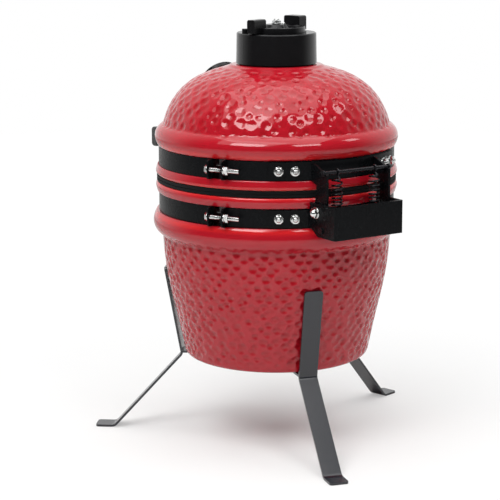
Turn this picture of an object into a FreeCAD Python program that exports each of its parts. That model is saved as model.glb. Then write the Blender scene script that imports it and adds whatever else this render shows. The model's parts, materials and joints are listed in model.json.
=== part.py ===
import FreeCAD, Part
import math
import os
from FreeCAD import Vector

# A small kamado grill: a glazed ceramic base and domed lid held by two steel bands, a
# spring-assisted band hinge at the back (+Y), a carrying handle, thermometer and draft door
# at the front (-Y), a cast vent cap on top, ceramic fire parts inside, and a three-legged
# flat-bar stand.  Millimetres, +Z up, origin on the body's axis at floor level.

# ---- driving dimensions --------------------------------------------------------------------
WALL = 16.0            # ceramic wall
FIT = 0.3              # clearance between pieces that lie against each other
RUN = 0.06             # radial clearance of a running fit
SHEET = 1.5            # sheet steel of the draft frame and door
GASKET_T = 4.45
BAND_T = 2.0
BAND_H = 24.6
HINGE_T = 2.5

# The body is one revolved form.  Its radii are set from the lips, the base's heights from its
# underside and the lid's from its own rim.
RIM_R = 160.6          # outer radius of the two lips
LIP_DRAFT = 1.6        # the lips lean in by this much at their sealing faces
BASE_FLOOR_Z = 111.0   # underside of the base
BASE_H = 237.6         # from there to the base's rim
BASE_FLOOR_WALL = 20.0
BASE_FLOOR_R = RIM_R - 46.6
BASE_CORNER_R = 11.0
BASE_RIM_Z = BASE_FLOOR_Z + BASE_H
BASE_BULGE_R = RIM_R + 3.4
FLANK_TOP_R = RIM_R - 8.4
LID_H = 143.7          # from the lid's rim to the neck
LID_RIM_Z = BASE_RIM_Z + 2 * GASKET_T + FIT
LID_BULGE_R = RIM_R + 0.6
NECK_R = 60.0          # smooth ring under the vent cap
NECK_Z = LID_RIM_Z + LID_H
FLUE_R = 32.0          # chimney bore
# Points between the ends of the flank and of the dome, as shares of the way across and up.
FLANK_SHAPE = ((0.3493, 0.2857), (0.7426, 0.5974), (0.9412, 0.8442))
DOME_SHAPE = ((0.0553, 0.1879), (0.1889, 0.4685), (0.4412, 0.7490), (0.7005, 0.8953))

BASE_LIP_H = 13.8      # from each rim to the edge of its band's groove
LID_LIP_H = 12.3
BAND_SEAT_R = RIM_R - 6.2        # groove that a band lies in
LOWER_BAND_Z = BASE_RIM_Z - BASE_LIP_H - FIT - BAND_H    # lower edge of each band
UPPER_BAND_Z = LID_RIM_Z + LID_LIP_H + FIT
LOWER_BAND_MID = LOWER_BAND_Z + BAND_H / 2
UPPER_BAND_MID = UPPER_BAND_Z + BAND_H / 2
FLANK_TOP_Z = LOWER_BAND_Z - 33.9
BASE_BULGE_Z = LOWER_BAND_Z - 12.4
LID_BULGE_Z = UPPER_BAND_Z + BAND_H + 12.0
DOME_FOOT = (RIM_R - 9.8, UPPER_BAND_Z + BAND_H + 29.5)
CLAMP_DEG = 28.5       # where the band ends are drawn together
CLAMP_GAP = 18.0
EAR_T = 2.0
EAR_OUT = 14.5         # how far an ear stands out from the seat
CLAMP_BOLT_X = BAND_SEAT_R + BAND_T + 7.0
CLAMP_BOLT_LEN = 43.5
CLAMP_HEAD_H = 3.0
GASKET_IN = 4.0        # gasket starts this far outside the inner wall

M6_R = 3.0
M6_ACROSS = 10.0       # across the flats of its head and nut
WASHER_R = 6.0
WASHER_T = 1.2
M5_R = 2.5
M5_HEAD_R = 4.5
M5_HEAD_H = 3.0

HINGE_HALF = 53.0      # half the width of the lower bracket, outside
HINGE_OUT = RIM_R + 46.4         # its front face from the axis
HINGE_TOP = LOWER_BAND_Z + 34.1
HINGE_BOTTOM = LOWER_BAND_Z - 7.9
PIVOT_Y = RIM_R + 6.4
PIVOT_Z = LOWER_BAND_Z + 22.1
PIVOT_R = 4.0
ARM_T = 3.0
ARM_X = HINGE_HALF - HINGE_T - 1.0    # an arm's outer face, just inside the cheek
ARM_BACK = RIM_R - 0.6
ARM_FRONT = PIVOT_Y + 17.5
ARM_TOP = UPPER_BAND_Z + 20.6
SPRING_Y = PIVOT_Y + 11.0
SPRING_X = HINGE_HALF - 24.0
SPRING_OD = 15.0
SPRING_WIRE = 2.2
SPRING_TURNS = 11
SPRING_BAR_Z = UPPER_BAND_Z + 12.6
ANCHOR_BAR_Z = HINGE_BOTTOM + 9.0
SPRING_BAR_R = 2.5
FLANGE_BOLT_DEG = (57.0, 64.4)   # bracket bolts, mirrored about the hinge plane
FLANGE_END_DEG = 52.5

CAP_R = 52.8           # vent collar
CAP_WALL = 4.0
CAP_PLATE = 5.0
CAP_BOTTOM = NECK_Z + 1.5
CAP_TOP = CAP_BOTTOM + 39.8
STUD_R = 4.0
WHEEL_R = 37.8         # turning damper wheel
WHEEL_H = 7.5
VENT_PORTS = 5
PORT_R = 6.2
PORT_PCD_R = 24.0
PORT_HALF_DEG = 9.0    # half the angle between the two ends of a port
LUG_DEG = 18.0
LUG_W = 12.5
REAR_LUG_W = 26.0
LUG_TOP = CAP_TOP + 18.7
HUB_RISE = 3.2         # hub above the wheel's rim
CAP_SCREW_DEG = -8.0  # screw that holds the cap to the neck
CAP_SCREW_R = 45.4
RIVET_DEG = 146.0
RIVET_R = 9.3

GAUGE_R = 25.5         # thermometer
GAUGE_SHARE = 0.522    # its height up the dome
GAUGE_TILT = 43.0      # its axis above the horizontal
STEM_R = 3.0

HANDLE_HALF = 73.0
HANDLE_Y = -RIM_R - 37.4
HANDLE_Z = UPPER_BAND_Z + 16.6
HANDLE_H = 27.0
HANDLE_T = 15.0
HANDLE_POST_X = 48.0
HANDLE_SCREW_X = HANDLE_POST_X + 6.0
HANDLE_PLATE_HALF = BAND_H / 2 - 3.3  # half the height of its steel brackets

DOOR_HALF_DEG = 15.0   # draft opening, half its width round the axis
DOOR_LOW = BASE_FLOOR_Z + 35.0
DOOR_HIGH = DOOR_LOW + 30.0
DOOR_SLIDE_DEG = 32.0
DOOR_R = RIM_R - 28.6  # where the opening's width is measured

FIRE_WALL = 12.0
FIREBOX_R = RIM_R - WALL - 20.6
FIREBOX_FOOT_R = FIREBOX_R - 32.0
FIREBOX_TOP = BASE_RIM_Z - 112.6
RING_R = RIM_R - WALL - 13.6
RING_TOP = BASE_RIM_Z - 26.6
CHAR_GRATE_Z = BASE_FLOOR_Z + 55.0
CHAR_GRATE_R = FIREBOX_R - 40.0
COOK_GRATE_R = RING_R - 3.0
COOK_WIRE = 5.0
COOK_ROD_R = 1.8
COOK_PITCH = 14.0

LEG_DEG = (-39.0, 74.5, 194.0)
LEG_W = 25.0
LEG_T = 3.0
KNEE_R = BASE_FLOOR_R + 14.0
KNEE_Z = BASE_FLOOR_Z - 4.5
HEEL_R = KNEE_R + 95.0
TOE_R = HEEL_R + 26.0
LEG_TOP_Z = BASE_FLOOR_Z + 115.0
CHEEK_GAP = 1.0         # between the flank and the leg's upper part


# ---- small helpers -------------------------------------------------------------------------
def rz(r, z):
    """A point of the half-section in the XZ plane."""
    return Vector(r, 0, z)


def line(a, b):
    return Part.LineSegment(a, b).toShape()


def arc(a, mid, b):
    return Part.Arc(a, mid, b).toShape()


def spline(points):
    curve = Part.BSplineCurve()
    curve.interpolate(points)
    return curve


def polyline(points):
    return [line(a, b) for a, b in zip(points, points[1:])]


def turn(edges):
    """Solid of revolution about Z from a closed half-section."""
    face = Part.Face(Part.Wire(Part.__sortEdges__(edges)))
    return face.revolve(Vector(0, 0, 0), Vector(0, 0, 1), 360)


def turn_points(points):
    return turn(polyline(points + points[:1]))


def box(x0, x1, y0, y1, z0, z1):
    return Part.makeBox(x1 - x0, y1 - y0, z1 - z0, Vector(x0, y0, z0))


def rod(a, b, r):
    """Round bar from a to b."""
    axis = b - a
    return Part.makeCylinder(r, axis.Length, a, axis)


def hexagon(centre, axis, across, height):
    """Hexagonal prism that starts at centre and grows along axis."""
    radius = across / math.sqrt(3)
    corners = [Vector(radius * math.cos(math.radians(60 * i)),
                      radius * math.sin(math.radians(60 * i)), 0) for i in range(7)]
    solid = Part.Face(Part.makePolygon(corners)).extrude(Vector(0, 0, height))
    return place_along(solid, centre, axis)


def place_along(shape, origin, axis):
    """Move a shape built on +Z at the origin onto an axis."""
    moved = shape.copy()
    moved.Placement = FreeCAD.Placement(origin, FreeCAD.Rotation(Vector(0, 0, 1), axis))
    return moved


def extrude_plate(points, direction):
    return Part.Face(Part.makePolygon(points + points[:1])).extrude(direction)


def about_z(shape, degrees):
    turned = shape.copy()
    turned.rotate(Vector(0, 0, 0), Vector(0, 0, 1), degrees)
    return turned


def radial(degrees, r, z):
    a = math.radians(degrees)
    return Vector(r * math.cos(a), r * math.sin(a), z)


def outward(degrees):
    return radial(degrees, 1.0, 0.0)


def mirror_x(shape):
    return shape.mirror(Vector(0, 0, 0), Vector(1, 0, 0))


def fuse(first, *others):
    return first.multiFuse(list(others)).removeSplitter()


def group(*solids):
    return Part.makeCompound(list(solids))


def sector(start, end, radius, z0, z1):
    """Wedge about Z, for cutting angular ranges out of revolved shapes."""
    wedge = Part.makeCylinder(radius, z1 - z0, Vector(0, 0, z0), Vector(0, 0, 1), end - start)
    return about_z(wedge, start)


# ---- ceramic outlines ----------------------------------------------------------------------
def curve_between(start, end, shape):
    """Curve between two points of the half-section, through points given as shares."""
    across = end - start
    middle = [start + Vector(across.x * share_x, 0, across.z * share_z) for share_x, share_z in shape]
    return spline([start] + middle + [end])


def base_side_curve():
    """Tapered, gently barrelled flank of the base, from the floor corner to the bulge."""
    foot = rz(BASE_FLOOR_R + BASE_CORNER_R, BASE_FLOOR_Z + BASE_CORNER_R)
    return curve_between(foot, rz(FLANK_TOP_R, FLANK_TOP_Z), FLANK_SHAPE)


def dome_curve():
    """Outside of the dome, from the bulge's shoulder to the neck."""
    return curve_between(rz(*DOME_FOOT), rz(NECK_R + 4.0, NECK_Z - 2.5), DOME_SHAPE)


def radius_at(curve, z):
    """Radius of a rising section curve at a height, found by halving."""
    low, high = curve.FirstParameter, curve.LastParameter
    for _ in range(40):
        middle = (low + high) / 2
        if curve.value(middle).z < z:
            low = middle
        else:
            high = middle
    return curve.value(low).x


def side_radius(z):
    return radius_at(base_side_curve(), z)


def offset_inward(curve, distance, count):
    """Points beside a section curve, moved towards the axis side by distance."""
    first, last = curve.FirstParameter, curve.LastParameter
    points = []
    for i in range(count):
        u = first + (last - first) * i / (count - 1)
        way = curve.tangent(u)[0]
        points.append(curve.value(u) + Vector(-way.z, 0, way.x) * distance)
    return points


def lip(z_seal, z_band, sign):
    """Outer edge of a rim from its sealing face to the band's groove."""
    seal = rz(RIM_R - LIP_DRAFT, z_seal)
    crown = rz(RIM_R, z_seal + sign * 4.5)
    edge = rz(RIM_R - 2.2, z_band)
    return [arc(seal, crown, edge), line(edge, rz(BAND_SEAT_R, z_band))]


def base_shell():
    side = base_side_curve()
    groove_low = LOWER_BAND_Z - FIT
    groove_high = LOWER_BAND_Z + BAND_H + FIT
    corner = rz(BASE_FLOOR_R + BASE_CORNER_R * math.sin(math.radians(45)),
                BASE_FLOOR_Z + BASE_CORNER_R * (1 - math.cos(math.radians(45))))
    side_top = side.value(side.LastParameter)
    bulge_top = rz(BASE_BULGE_R - 4.0, groove_low)
    outside = [line(rz(0, BASE_FLOOR_Z), rz(BASE_FLOOR_R, BASE_FLOOR_Z)),
               arc(rz(BASE_FLOOR_R, BASE_FLOOR_Z), corner, side.value(side.FirstParameter)),
               side.toShape(),
               arc(side_top, rz(BASE_BULGE_R, BASE_BULGE_Z), bulge_top),
               line(bulge_top, rz(BAND_SEAT_R, groove_low)),
               line(rz(BAND_SEAT_R, groove_low), rz(BAND_SEAT_R, groove_high))]
    outside += lip(BASE_RIM_Z, groove_high, -1)
    inner = offset_inward(side, WALL, 5)
    floor_z = BASE_FLOOR_Z + BASE_FLOOR_WALL
    floor_edge = rz(inner[1].x - 12.0, floor_z)
    inner_curve = spline([rz(inner[1].x - 2.0, floor_z + 10.0)] + inner[2:])
    inner_rim = rz(RIM_R - WALL - LIP_DRAFT, BASE_RIM_Z)
    inside = [line(rz(RIM_R - LIP_DRAFT, BASE_RIM_Z), inner_rim),
              line(inner_rim, inner_curve.value(inner_curve.LastParameter)),
              inner_curve.toShape(),
              line(inner_curve.value(inner_curve.FirstParameter), floor_edge),
              line(floor_edge, rz(0, floor_z)),
              line(rz(0, floor_z), rz(0, BASE_FLOOR_Z))]
    return turn(outside + inside).cut(draft_cutter())


def lid_shell():
    dome = dome_curve()
    groove_low = UPPER_BAND_Z - FIT
    groove_high = UPPER_BAND_Z + BAND_H + FIT
    bulge_foot = rz(LID_BULGE_R - 4.5, groove_high)
    neck_foot = dome.value(dome.LastParameter)
    neck_edge = rz(NECK_R, NECK_Z)
    outside = lip(LID_RIM_Z, groove_low, 1)
    outside += [line(rz(BAND_SEAT_R, groove_low), rz(BAND_SEAT_R, groove_high)),
                line(rz(BAND_SEAT_R, groove_high), bulge_foot),
                arc(bulge_foot, rz(LID_BULGE_R, LID_BULGE_Z), rz(*DOME_FOOT)),
                dome.toShape(),
                line(neck_foot, neck_edge),
                line(neck_edge, rz(FLUE_R, NECK_Z))]
    inner_curve = spline(offset_inward(dome, WALL, 7)[:-1])
    inner_rim = rz(RIM_R - WALL - LIP_DRAFT, LID_RIM_Z)
    low = inner_curve.value(inner_curve.FirstParameter)
    high = inner_curve.value(inner_curve.LastParameter)
    flue_foot = rz(FLUE_R, high.z + 2.0)
    inside = [line(rz(RIM_R - LIP_DRAFT, LID_RIM_Z), inner_rim),
              line(inner_rim, low),
              inner_curve.toShape(),
              line(high, flue_foot),
              line(flue_foot, rz(FLUE_R, NECK_Z))]
    shell = turn(outside + inside)
    stem_hole = rod(gauge_point(-40.0), gauge_point(20.0), STEM_R + 1.5)
    return shell.cut(stem_hole)


def gaskets():
    """Two felt rings that meet when the lid is closed, one on each rim."""
    inner = RIM_R - WALL - LIP_DRAFT + GASKET_IN
    outer = RIM_R - LIP_DRAFT + 0.2
    low = turn_points([rz(inner, BASE_RIM_Z), rz(outer, BASE_RIM_Z),
                       rz(outer, BASE_RIM_Z + GASKET_T), rz(inner, BASE_RIM_Z + GASKET_T)])
    high = turn_points([rz(inner, LID_RIM_Z - GASKET_T), rz(outer, LID_RIM_Z - GASKET_T),
                        rz(outer, LID_RIM_Z), rz(inner, LID_RIM_Z)])
    return low, high


# ---- bands and their clamps ----------------------------------------------------------------
def band(z):
    """Open steel hoop whose ends turn out into two ears."""
    inner = BAND_SEAT_R + FIT / 3
    outer = inner + BAND_T
    hoop = turn_points([rz(inner, z), rz(outer, z), rz(outer, z + BAND_H), rz(inner, z + BAND_H)])
    half_gap = CLAMP_GAP / 2
    mouth = box(0, outer * 2, -half_gap, half_gap, z - 1, z + BAND_H + 1)
    hoop = hoop.cut(mouth)
    ear_in = inner + 0.5
    ear_out = BAND_SEAT_R + EAR_OUT
    for side in (-1, 1):
        y_in = side * half_gap
        y_out = side * (half_gap + EAR_T)
        low, high = min(y_in, y_out), max(y_in, y_out)
        ear = box(ear_in, ear_out, low, high, z, z + BAND_H)
        ear = ear.makeFillet(4.0, [e for e in ear.Edges
                                   if e.BoundBox.XMin > ear_out - 0.1 and e.BoundBox.YLength > EAR_T - 0.1])
        hoop = hoop.fuse(ear)
    hole = across_clamp(z + BAND_H / 2, -30.0, 30.0, M6_R + RUN)
    return about_z(hoop.cut(hole).removeSplitter(), CLAMP_DEG)


def across_clamp(z, y0, y1, r):
    """Cylinder on the clamp bolt's axis, before the clamp is turned to its place."""
    return rod(Vector(CLAMP_BOLT_X, y0, z), Vector(CLAMP_BOLT_X, y1, z), r)


def clamp_bolt(z):
    """Hexagon bolt across the band's mouth, head on the side away from the hinge."""
    seat = -CLAMP_GAP / 2 - EAR_T - FIT / 3
    shank = across_clamp(z, seat, seat + CLAMP_BOLT_LEN, M6_R)
    washer = across_clamp(z, seat - WASHER_T, seat, WASHER_R)
    head = hexagon(Vector(CLAMP_BOLT_X, seat - WASHER_T, z), Vector(0, -1, 0), M6_ACROSS,
                   CLAMP_HEAD_H)
    return about_z(fuse(shank, washer, head), CLAMP_DEG)


def clamp_nut(z):
    seat = CLAMP_GAP / 2 + EAR_T + FIT / 3
    washer = across_clamp(z, seat, seat + WASHER_T, WASHER_R)
    nut = hexagon(Vector(CLAMP_BOLT_X, seat + WASHER_T, z), Vector(0, 1, 0), M6_ACROSS, 5.5)
    bore = across_clamp(z, seat - 1, seat + 12, M6_R + RUN)
    return about_z(fuse(nut, washer).cut(bore), CLAMP_DEG)


# ---- hinge ---------------------------------------------------------------------------------
def flange(z0, z1, start, end, inner_gap):
    """Curved plate against a band between two angles."""
    inner = BAND_SEAT_R + BAND_T + inner_gap
    ring = turn_points([rz(inner, z0), rz(inner + HINGE_T, z0), rz(inner + HINGE_T, z1), rz(inner, z1)])
    return ring.common(sector(start, end, inner * 2, z0 - 1, z1 + 1))


def flange_bolt_centres():
    for degrees in FLANGE_BOLT_DEG:
        yield degrees
        yield 180.0 - degrees


def flange_holes(z):
    holes = [rod(radial(d, BAND_SEAT_R - 1, z), radial(d, BAND_SEAT_R + 12, z), M6_R + FIT)
             for d in flange_bolt_centres()]
    return holes[0].multiFuse(holes[1:])


def side_angle(x):
    """Angle at which a plate standing at x meets the band."""
    return math.degrees(math.acos(x / (BAND_SEAT_R + BAND_T + FIT / 2)))


def cross_hole(x, y, z, r):
    """Cutter along X through a plate whose outer face stands at x."""
    return rod(Vector(x + 2, y, z), Vector(x - 8, y, z), r + RUN)


def lower_bracket():
    """Open-topped box bent from one strip: two flanges on the lower band, two cheeks, a front."""
    seat = BAND_SEAT_R + BAND_T + FIT / 2
    z_low, z_high = LOWER_BAND_Z + 1.0, LOWER_BAND_Z + BAND_H - 1.0
    root = math.sqrt(seat ** 2 - HINGE_HALF ** 2) - 0.5
    inside_x = HINGE_HALF - HINGE_T
    past_rim = math.sqrt((RIM_R + 1.0) ** 2 - inside_x ** 2)
    past_bulge = math.sqrt((BASE_BULGE_R + 1.0) ** 2 - inside_x ** 2)
    cheek_outline = [Vector(HINGE_HALF, root, z_high), Vector(HINGE_HALF, past_rim, z_high),
                     Vector(HINGE_HALF, past_rim, HINGE_TOP),
                     Vector(HINGE_HALF, HINGE_OUT, HINGE_TOP), Vector(HINGE_HALF, HINGE_OUT, HINGE_BOTTOM),
                     Vector(HINGE_HALF, PIVOT_Y + 3.0, HINGE_BOTTOM), Vector(HINGE_HALF, past_bulge, z_low),
                     Vector(HINGE_HALF, root, z_low)]
    cheek = extrude_plate(cheek_outline, Vector(-HINGE_T, 0, 0))
    cheek = cheek.cut(cross_hole(HINGE_HALF, PIVOT_Y, PIVOT_Z, PIVOT_R))
    cheek = cheek.cut(cross_hole(HINGE_HALF, SPRING_Y, ANCHOR_BAR_Z, SPRING_BAR_R))
    wing = flange(z_low, z_high, FLANGE_END_DEG, side_angle(HINGE_HALF) + 1.2, FIT / 2)
    pieces = [cheek, wing, mirror_x(cheek), mirror_x(wing)]
    front = box(-HINGE_HALF, HINGE_HALF, HINGE_OUT - HINGE_T, HINGE_OUT, HINGE_BOTTOM, HINGE_TOP)
    bracket = fuse(front, *pieces)
    keep_out = Part.makeCylinder(seat, 80, Vector(0, 0, LOWER_BAND_Z - 20))
    bracket = bracket.cut(keep_out).cut(flange_holes(LOWER_BAND_MID))
    corners = [e for e in bracket.Edges
               if abs(e.BoundBox.ZLength - (HINGE_TOP - HINGE_BOTTOM)) < 0.1
               and e.BoundBox.YMin > HINGE_OUT - 0.1]
    return bracket.makeFillet(2.0, corners)


def upper_bracket():
    """Two arms hung from flanges on the upper band, joined by a back plate over the band."""
    seat = BAND_SEAT_R + BAND_T + FIT / 2
    z_low, z_high = UPPER_BAND_Z + 1.0, UPPER_BAND_Z + BAND_H - 1.0
    x = ARM_X
    root = math.sqrt(seat ** 2 - x ** 2) - 0.5
    outline = [Vector(x, root, z_high), Vector(x, ARM_BACK, ARM_TOP), Vector(x, ARM_FRONT, ARM_TOP - 10.0),
               Vector(x, ARM_FRONT, PIVOT_Z + 6.0), Vector(x, ARM_FRONT - 6.0, PIVOT_Z - 10.0),
               Vector(x, PIVOT_Y - 5.0, PIVOT_Z - 10.0), Vector(x, PIVOT_Y - 10.5, PIVOT_Z - 4.0),
               Vector(x, PIVOT_Y - 4.0, PIVOT_Z + 34.0), Vector(x, root, z_low)]
    arm = extrude_plate(outline, Vector(-ARM_T, 0, 0))
    arm = arm.cut(cross_hole(x, PIVOT_Y, PIVOT_Z, PIVOT_R))
    arm = arm.cut(cross_hole(x, SPRING_Y, SPRING_BAR_Z, SPRING_BAR_R))
    wing = flange(z_low, z_high, FLANGE_END_DEG, side_angle(x) + 1.2, FIT / 2)
    back = flange(z_low, z_high, side_angle(x) - 0.5, 90.5, FIT / 2)
    bracket = fuse(arm, wing, back, mirror_x(arm), mirror_x(wing), mirror_x(back))
    keep_out = Part.makeCylinder(seat, 60, Vector(0, 0, UPPER_BAND_Z - 18))
    return bracket.cut(keep_out).cut(flange_holes(UPPER_BAND_MID)).removeSplitter()


def pivot_bolts():
    """A shouldered bolt through each cheek and arm; the domed cap is its outer end."""
    outer = HINGE_HALF + FIT / 3
    inner = ARM_X - ARM_T - FIT / 3
    shank = on_pivot(inner - 5.5, outer, PIVOT_R)
    washer = on_pivot(outer, outer + WASHER_T, 7.5)
    cap = hexagon(Vector(outer + WASHER_T, PIVOT_Y, PIVOT_Z), Vector(1, 0, 0), 11.5, 4.0)
    dome = Part.makeSphere(5.2, Vector(outer + WASHER_T + 3.0, PIVOT_Y, PIVOT_Z))
    bolt = fuse(shank, washer, cap, dome)
    return group(bolt, mirror_x(bolt))


def on_pivot(x0, x1, r):
    return rod(Vector(x0, PIVOT_Y, PIVOT_Z), Vector(x1, PIVOT_Y, PIVOT_Z), r)


def pivot_nuts():
    seat = ARM_X - ARM_T - FIT
    nut = hexagon(Vector(seat, PIVOT_Y, PIVOT_Z), Vector(-1, 0, 0), 12.0, 5.0)
    nut = nut.cut(on_pivot(seat - 7, seat + 1, PIVOT_R + RUN))
    return group(nut, mirror_x(nut))


def spring_bar(z, half):
    """Plain rod across the bracket with a peened head at each end."""
    bar = rod(Vector(-half - 1.5, SPRING_Y, z), Vector(half + 1.5, SPRING_Y, z), SPRING_BAR_R)
    heads = [rod(Vector(s * (half + FIT / 3), SPRING_Y, z), Vector(s * (half + 2.0), SPRING_Y, z), 4.0)
             for s in (1, -1)]
    return fuse(bar, *heads)


def spring(x):
    """Close tension coil with a hook at each end, modelled as its sleeve and two hook loops."""
    hook = SPRING_BAR_R + SPRING_WIRE / 2 + FIT / 2
    coil_top = SPRING_BAR_Z - 2 * hook - 3.0
    coil_low = ANCHOR_BAR_Z + 2 * hook + 3.0
    mean = (SPRING_OD - SPRING_WIRE) / 2
    solids = []
    pitch = (coil_top - coil_low) / SPRING_TURNS
    for i in range(SPRING_TURNS + 1):
        solids.append(Part.makeTorus(mean, SPRING_WIRE / 2, Vector(x, SPRING_Y, coil_low + i * pitch)))
    for z in (SPRING_BAR_Z, ANCHOR_BAR_Z):
        solids.append(Part.makeTorus(hook, SPRING_WIRE / 2, Vector(x, SPRING_Y, z), Vector(1, 0, 0)))
    for y in (SPRING_Y + mean, SPRING_Y - mean):
        solids.append(rod(Vector(x, y, coil_low), Vector(x, y, coil_top), SPRING_WIRE / 2.2))
        solids.append(rod(Vector(x, y, coil_top), Vector(x, SPRING_Y, SPRING_BAR_Z - hook), SPRING_WIRE / 2))
        solids.append(rod(Vector(x, y, coil_low), Vector(x, SPRING_Y, ANCHOR_BAR_Z + hook), SPRING_WIRE / 2))
    return fuse(*solids)


def flange_bolts(z):
    """Round-headed bolts from inside the band, with a nut and the bolt's end outside."""
    bolts, nuts = [], []
    under = BAND_SEAT_R + 0.05
    face = BAND_SEAT_R + BAND_T + HINGE_T + FIT / 2 + 0.05
    for d in flange_bolt_centres():
        bolts.append(rod(radial(d, under, z), radial(d, face + 8.0, z), M6_R))
        washer = rod(radial(d, face, z), radial(d, face + WASHER_T, z), WASHER_R)
        nut = fuse(washer, hexagon(radial(d, face + WASHER_T, z), outward(d), M6_ACROSS, 4.6))
        nuts.append(nut.cut(rod(radial(d, face - 1, z), radial(d, face + 9, z), M6_R + RUN)))
    return group(*bolts), group(*nuts)


# ---- vent cap ------------------------------------------------------------------------------
def port_cutter(z0, z1):
    """Kidney-shaped ports, each two drilled ends joined by a slot."""
    cutters = []
    for i in range(VENT_PORTS):
        middle = 360.0 / VENT_PORTS * i
        for degrees in (middle - PORT_HALF_DEG, middle, middle + PORT_HALF_DEG):
            cutters.append(rod(radial(degrees, PORT_PCD_R, z0), radial(degrees, PORT_PCD_R, z1), PORT_R))
    return cutters[0].multiFuse(cutters[1:])


def vent_collar():
    """Drum that drops over the ceramic neck, with a flat top plate that carries the ports."""
    top_in = CAP_TOP - CAP_PLATE
    drum = turn_points([rz(CAP_R - CAP_WALL, CAP_BOTTOM), rz(CAP_R + 0.4, CAP_BOTTOM),
                        rz(CAP_R - 0.4, CAP_TOP - 1.2), rz(CAP_R - 1.6, CAP_TOP),
                        rz(STUD_R + RUN, CAP_TOP), rz(STUD_R + RUN, top_in), rz(CAP_R - CAP_WALL, top_in)])
    screw_hole = on_cap_screw(top_in - 1, CAP_TOP + 1, M5_R + RUN)
    return drum.cut(port_cutter(top_in - 1, CAP_TOP + 1)).cut(screw_hole)


def on_cap_screw(z0, z1, r):
    return rod(radial(CAP_SCREW_DEG, CAP_SCREW_R, z0), radial(CAP_SCREW_DEG, CAP_SCREW_R, z1), r)


def lug(x0, x1, width, z0, z1):
    """Block that stands on the wheel, its two long top edges rounded."""
    block = box(x0, x1, -width / 2, width / 2, z0, z1)
    return block.makeFillet(3.0, [e for e in block.Edges if e.BoundBox.ZMin > z1 - 0.1
                                  and e.BoundBox.XLength > 5])


def vent_wheel():
    """Ribbed disc with matching ports, a raised hub and two turning lugs."""
    z = CAP_TOP + FIT
    top = z + WHEEL_H
    disc = turn_points([rz(STUD_R + RUN, z), rz(WHEEL_R, z), rz(WHEEL_R, top - 0.8), rz(WHEEL_R - 0.8, top),
                        rz(WHEEL_R - 4.0, top), rz(WHEEL_R - 5.5, top - 2.0), rz(17.0, top - 2.0),
                        rz(14.0, top + HUB_RISE - 0.7), rz(STUD_R + RUN, top + HUB_RISE)])
    wheel = disc.cut(port_cutter(z - 1, top + 1))
    front = lug(WHEEL_R - 8.0, CAP_R + 1.0, LUG_W, z + 1.0, LUG_TOP)
    rear = lug(-CAP_R + 5.0, -WHEEL_R + 5.0, REAR_LUG_W, z + 1.0, LUG_TOP + 1.0)
    return fuse(wheel, about_z(front, LUG_DEG), about_z(rear, LUG_DEG))


def vent_hardware():
    """Centre stud and its nut, the rivet beside them and the screw that clamps the cap."""
    hub_top = CAP_TOP + FIT + WHEEL_H + HUB_RISE
    head_h = 4.0
    head_z = CAP_TOP - CAP_PLATE - head_h
    stud = fuse(rod(rz(0, head_z), rz(0, hub_top + 6.5), STUD_R),
                hexagon(rz(0, head_z), Vector(0, 0, 1), 13.0, head_h - FIT))
    nut = fuse(hexagon(rz(0, hub_top + FIT), Vector(0, 0, 1), 10.0, 4.0),
               rod(rz(0, hub_top + FIT), rz(0, hub_top + FIT + 1.0), 6.5))
    nut = nut.cut(rod(rz(0, hub_top - 1), rz(0, hub_top + 8), STUD_R + RUN))
    rivet = rod(radial(RIVET_DEG, RIVET_R, hub_top - 0.2), radial(RIVET_DEG, RIVET_R, hub_top + 2.0), 2.2)
    screw = fuse(on_cap_screw(CAP_TOP - 8.0, CAP_TOP + 1.0, M5_R),
                 on_cap_screw(CAP_TOP + 0.1, CAP_TOP + 6.0, 4.2))
    return stud, nut, rivet, screw


def neck_gasket():
    return turn_points([rz(FLUE_R + 6.0, NECK_Z + 0.1), rz(CAP_R - CAP_WALL - FIT, NECK_Z + 0.1),
                        rz(CAP_R - CAP_WALL - FIT, NECK_Z + 4.0), rz(FLUE_R + 6.0, NECK_Z + 4.0)])


# ---- thermometer ---------------------------------------------------------------------------
def gauge_axis():
    a = math.radians(GAUGE_TILT)
    return Vector(0, -math.cos(a), math.sin(a))


def gauge_point(distance):
    """Point on the thermometer's axis, measured outwards from the dome's surface."""
    dome = dome_curve()
    foot, neck = dome.value(dome.FirstParameter), dome.value(dome.LastParameter)
    z = foot.z + (neck.z - foot.z) * GAUGE_SHARE
    return Vector(0, -radius_at(dome, z), z) + gauge_axis() * distance


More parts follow.
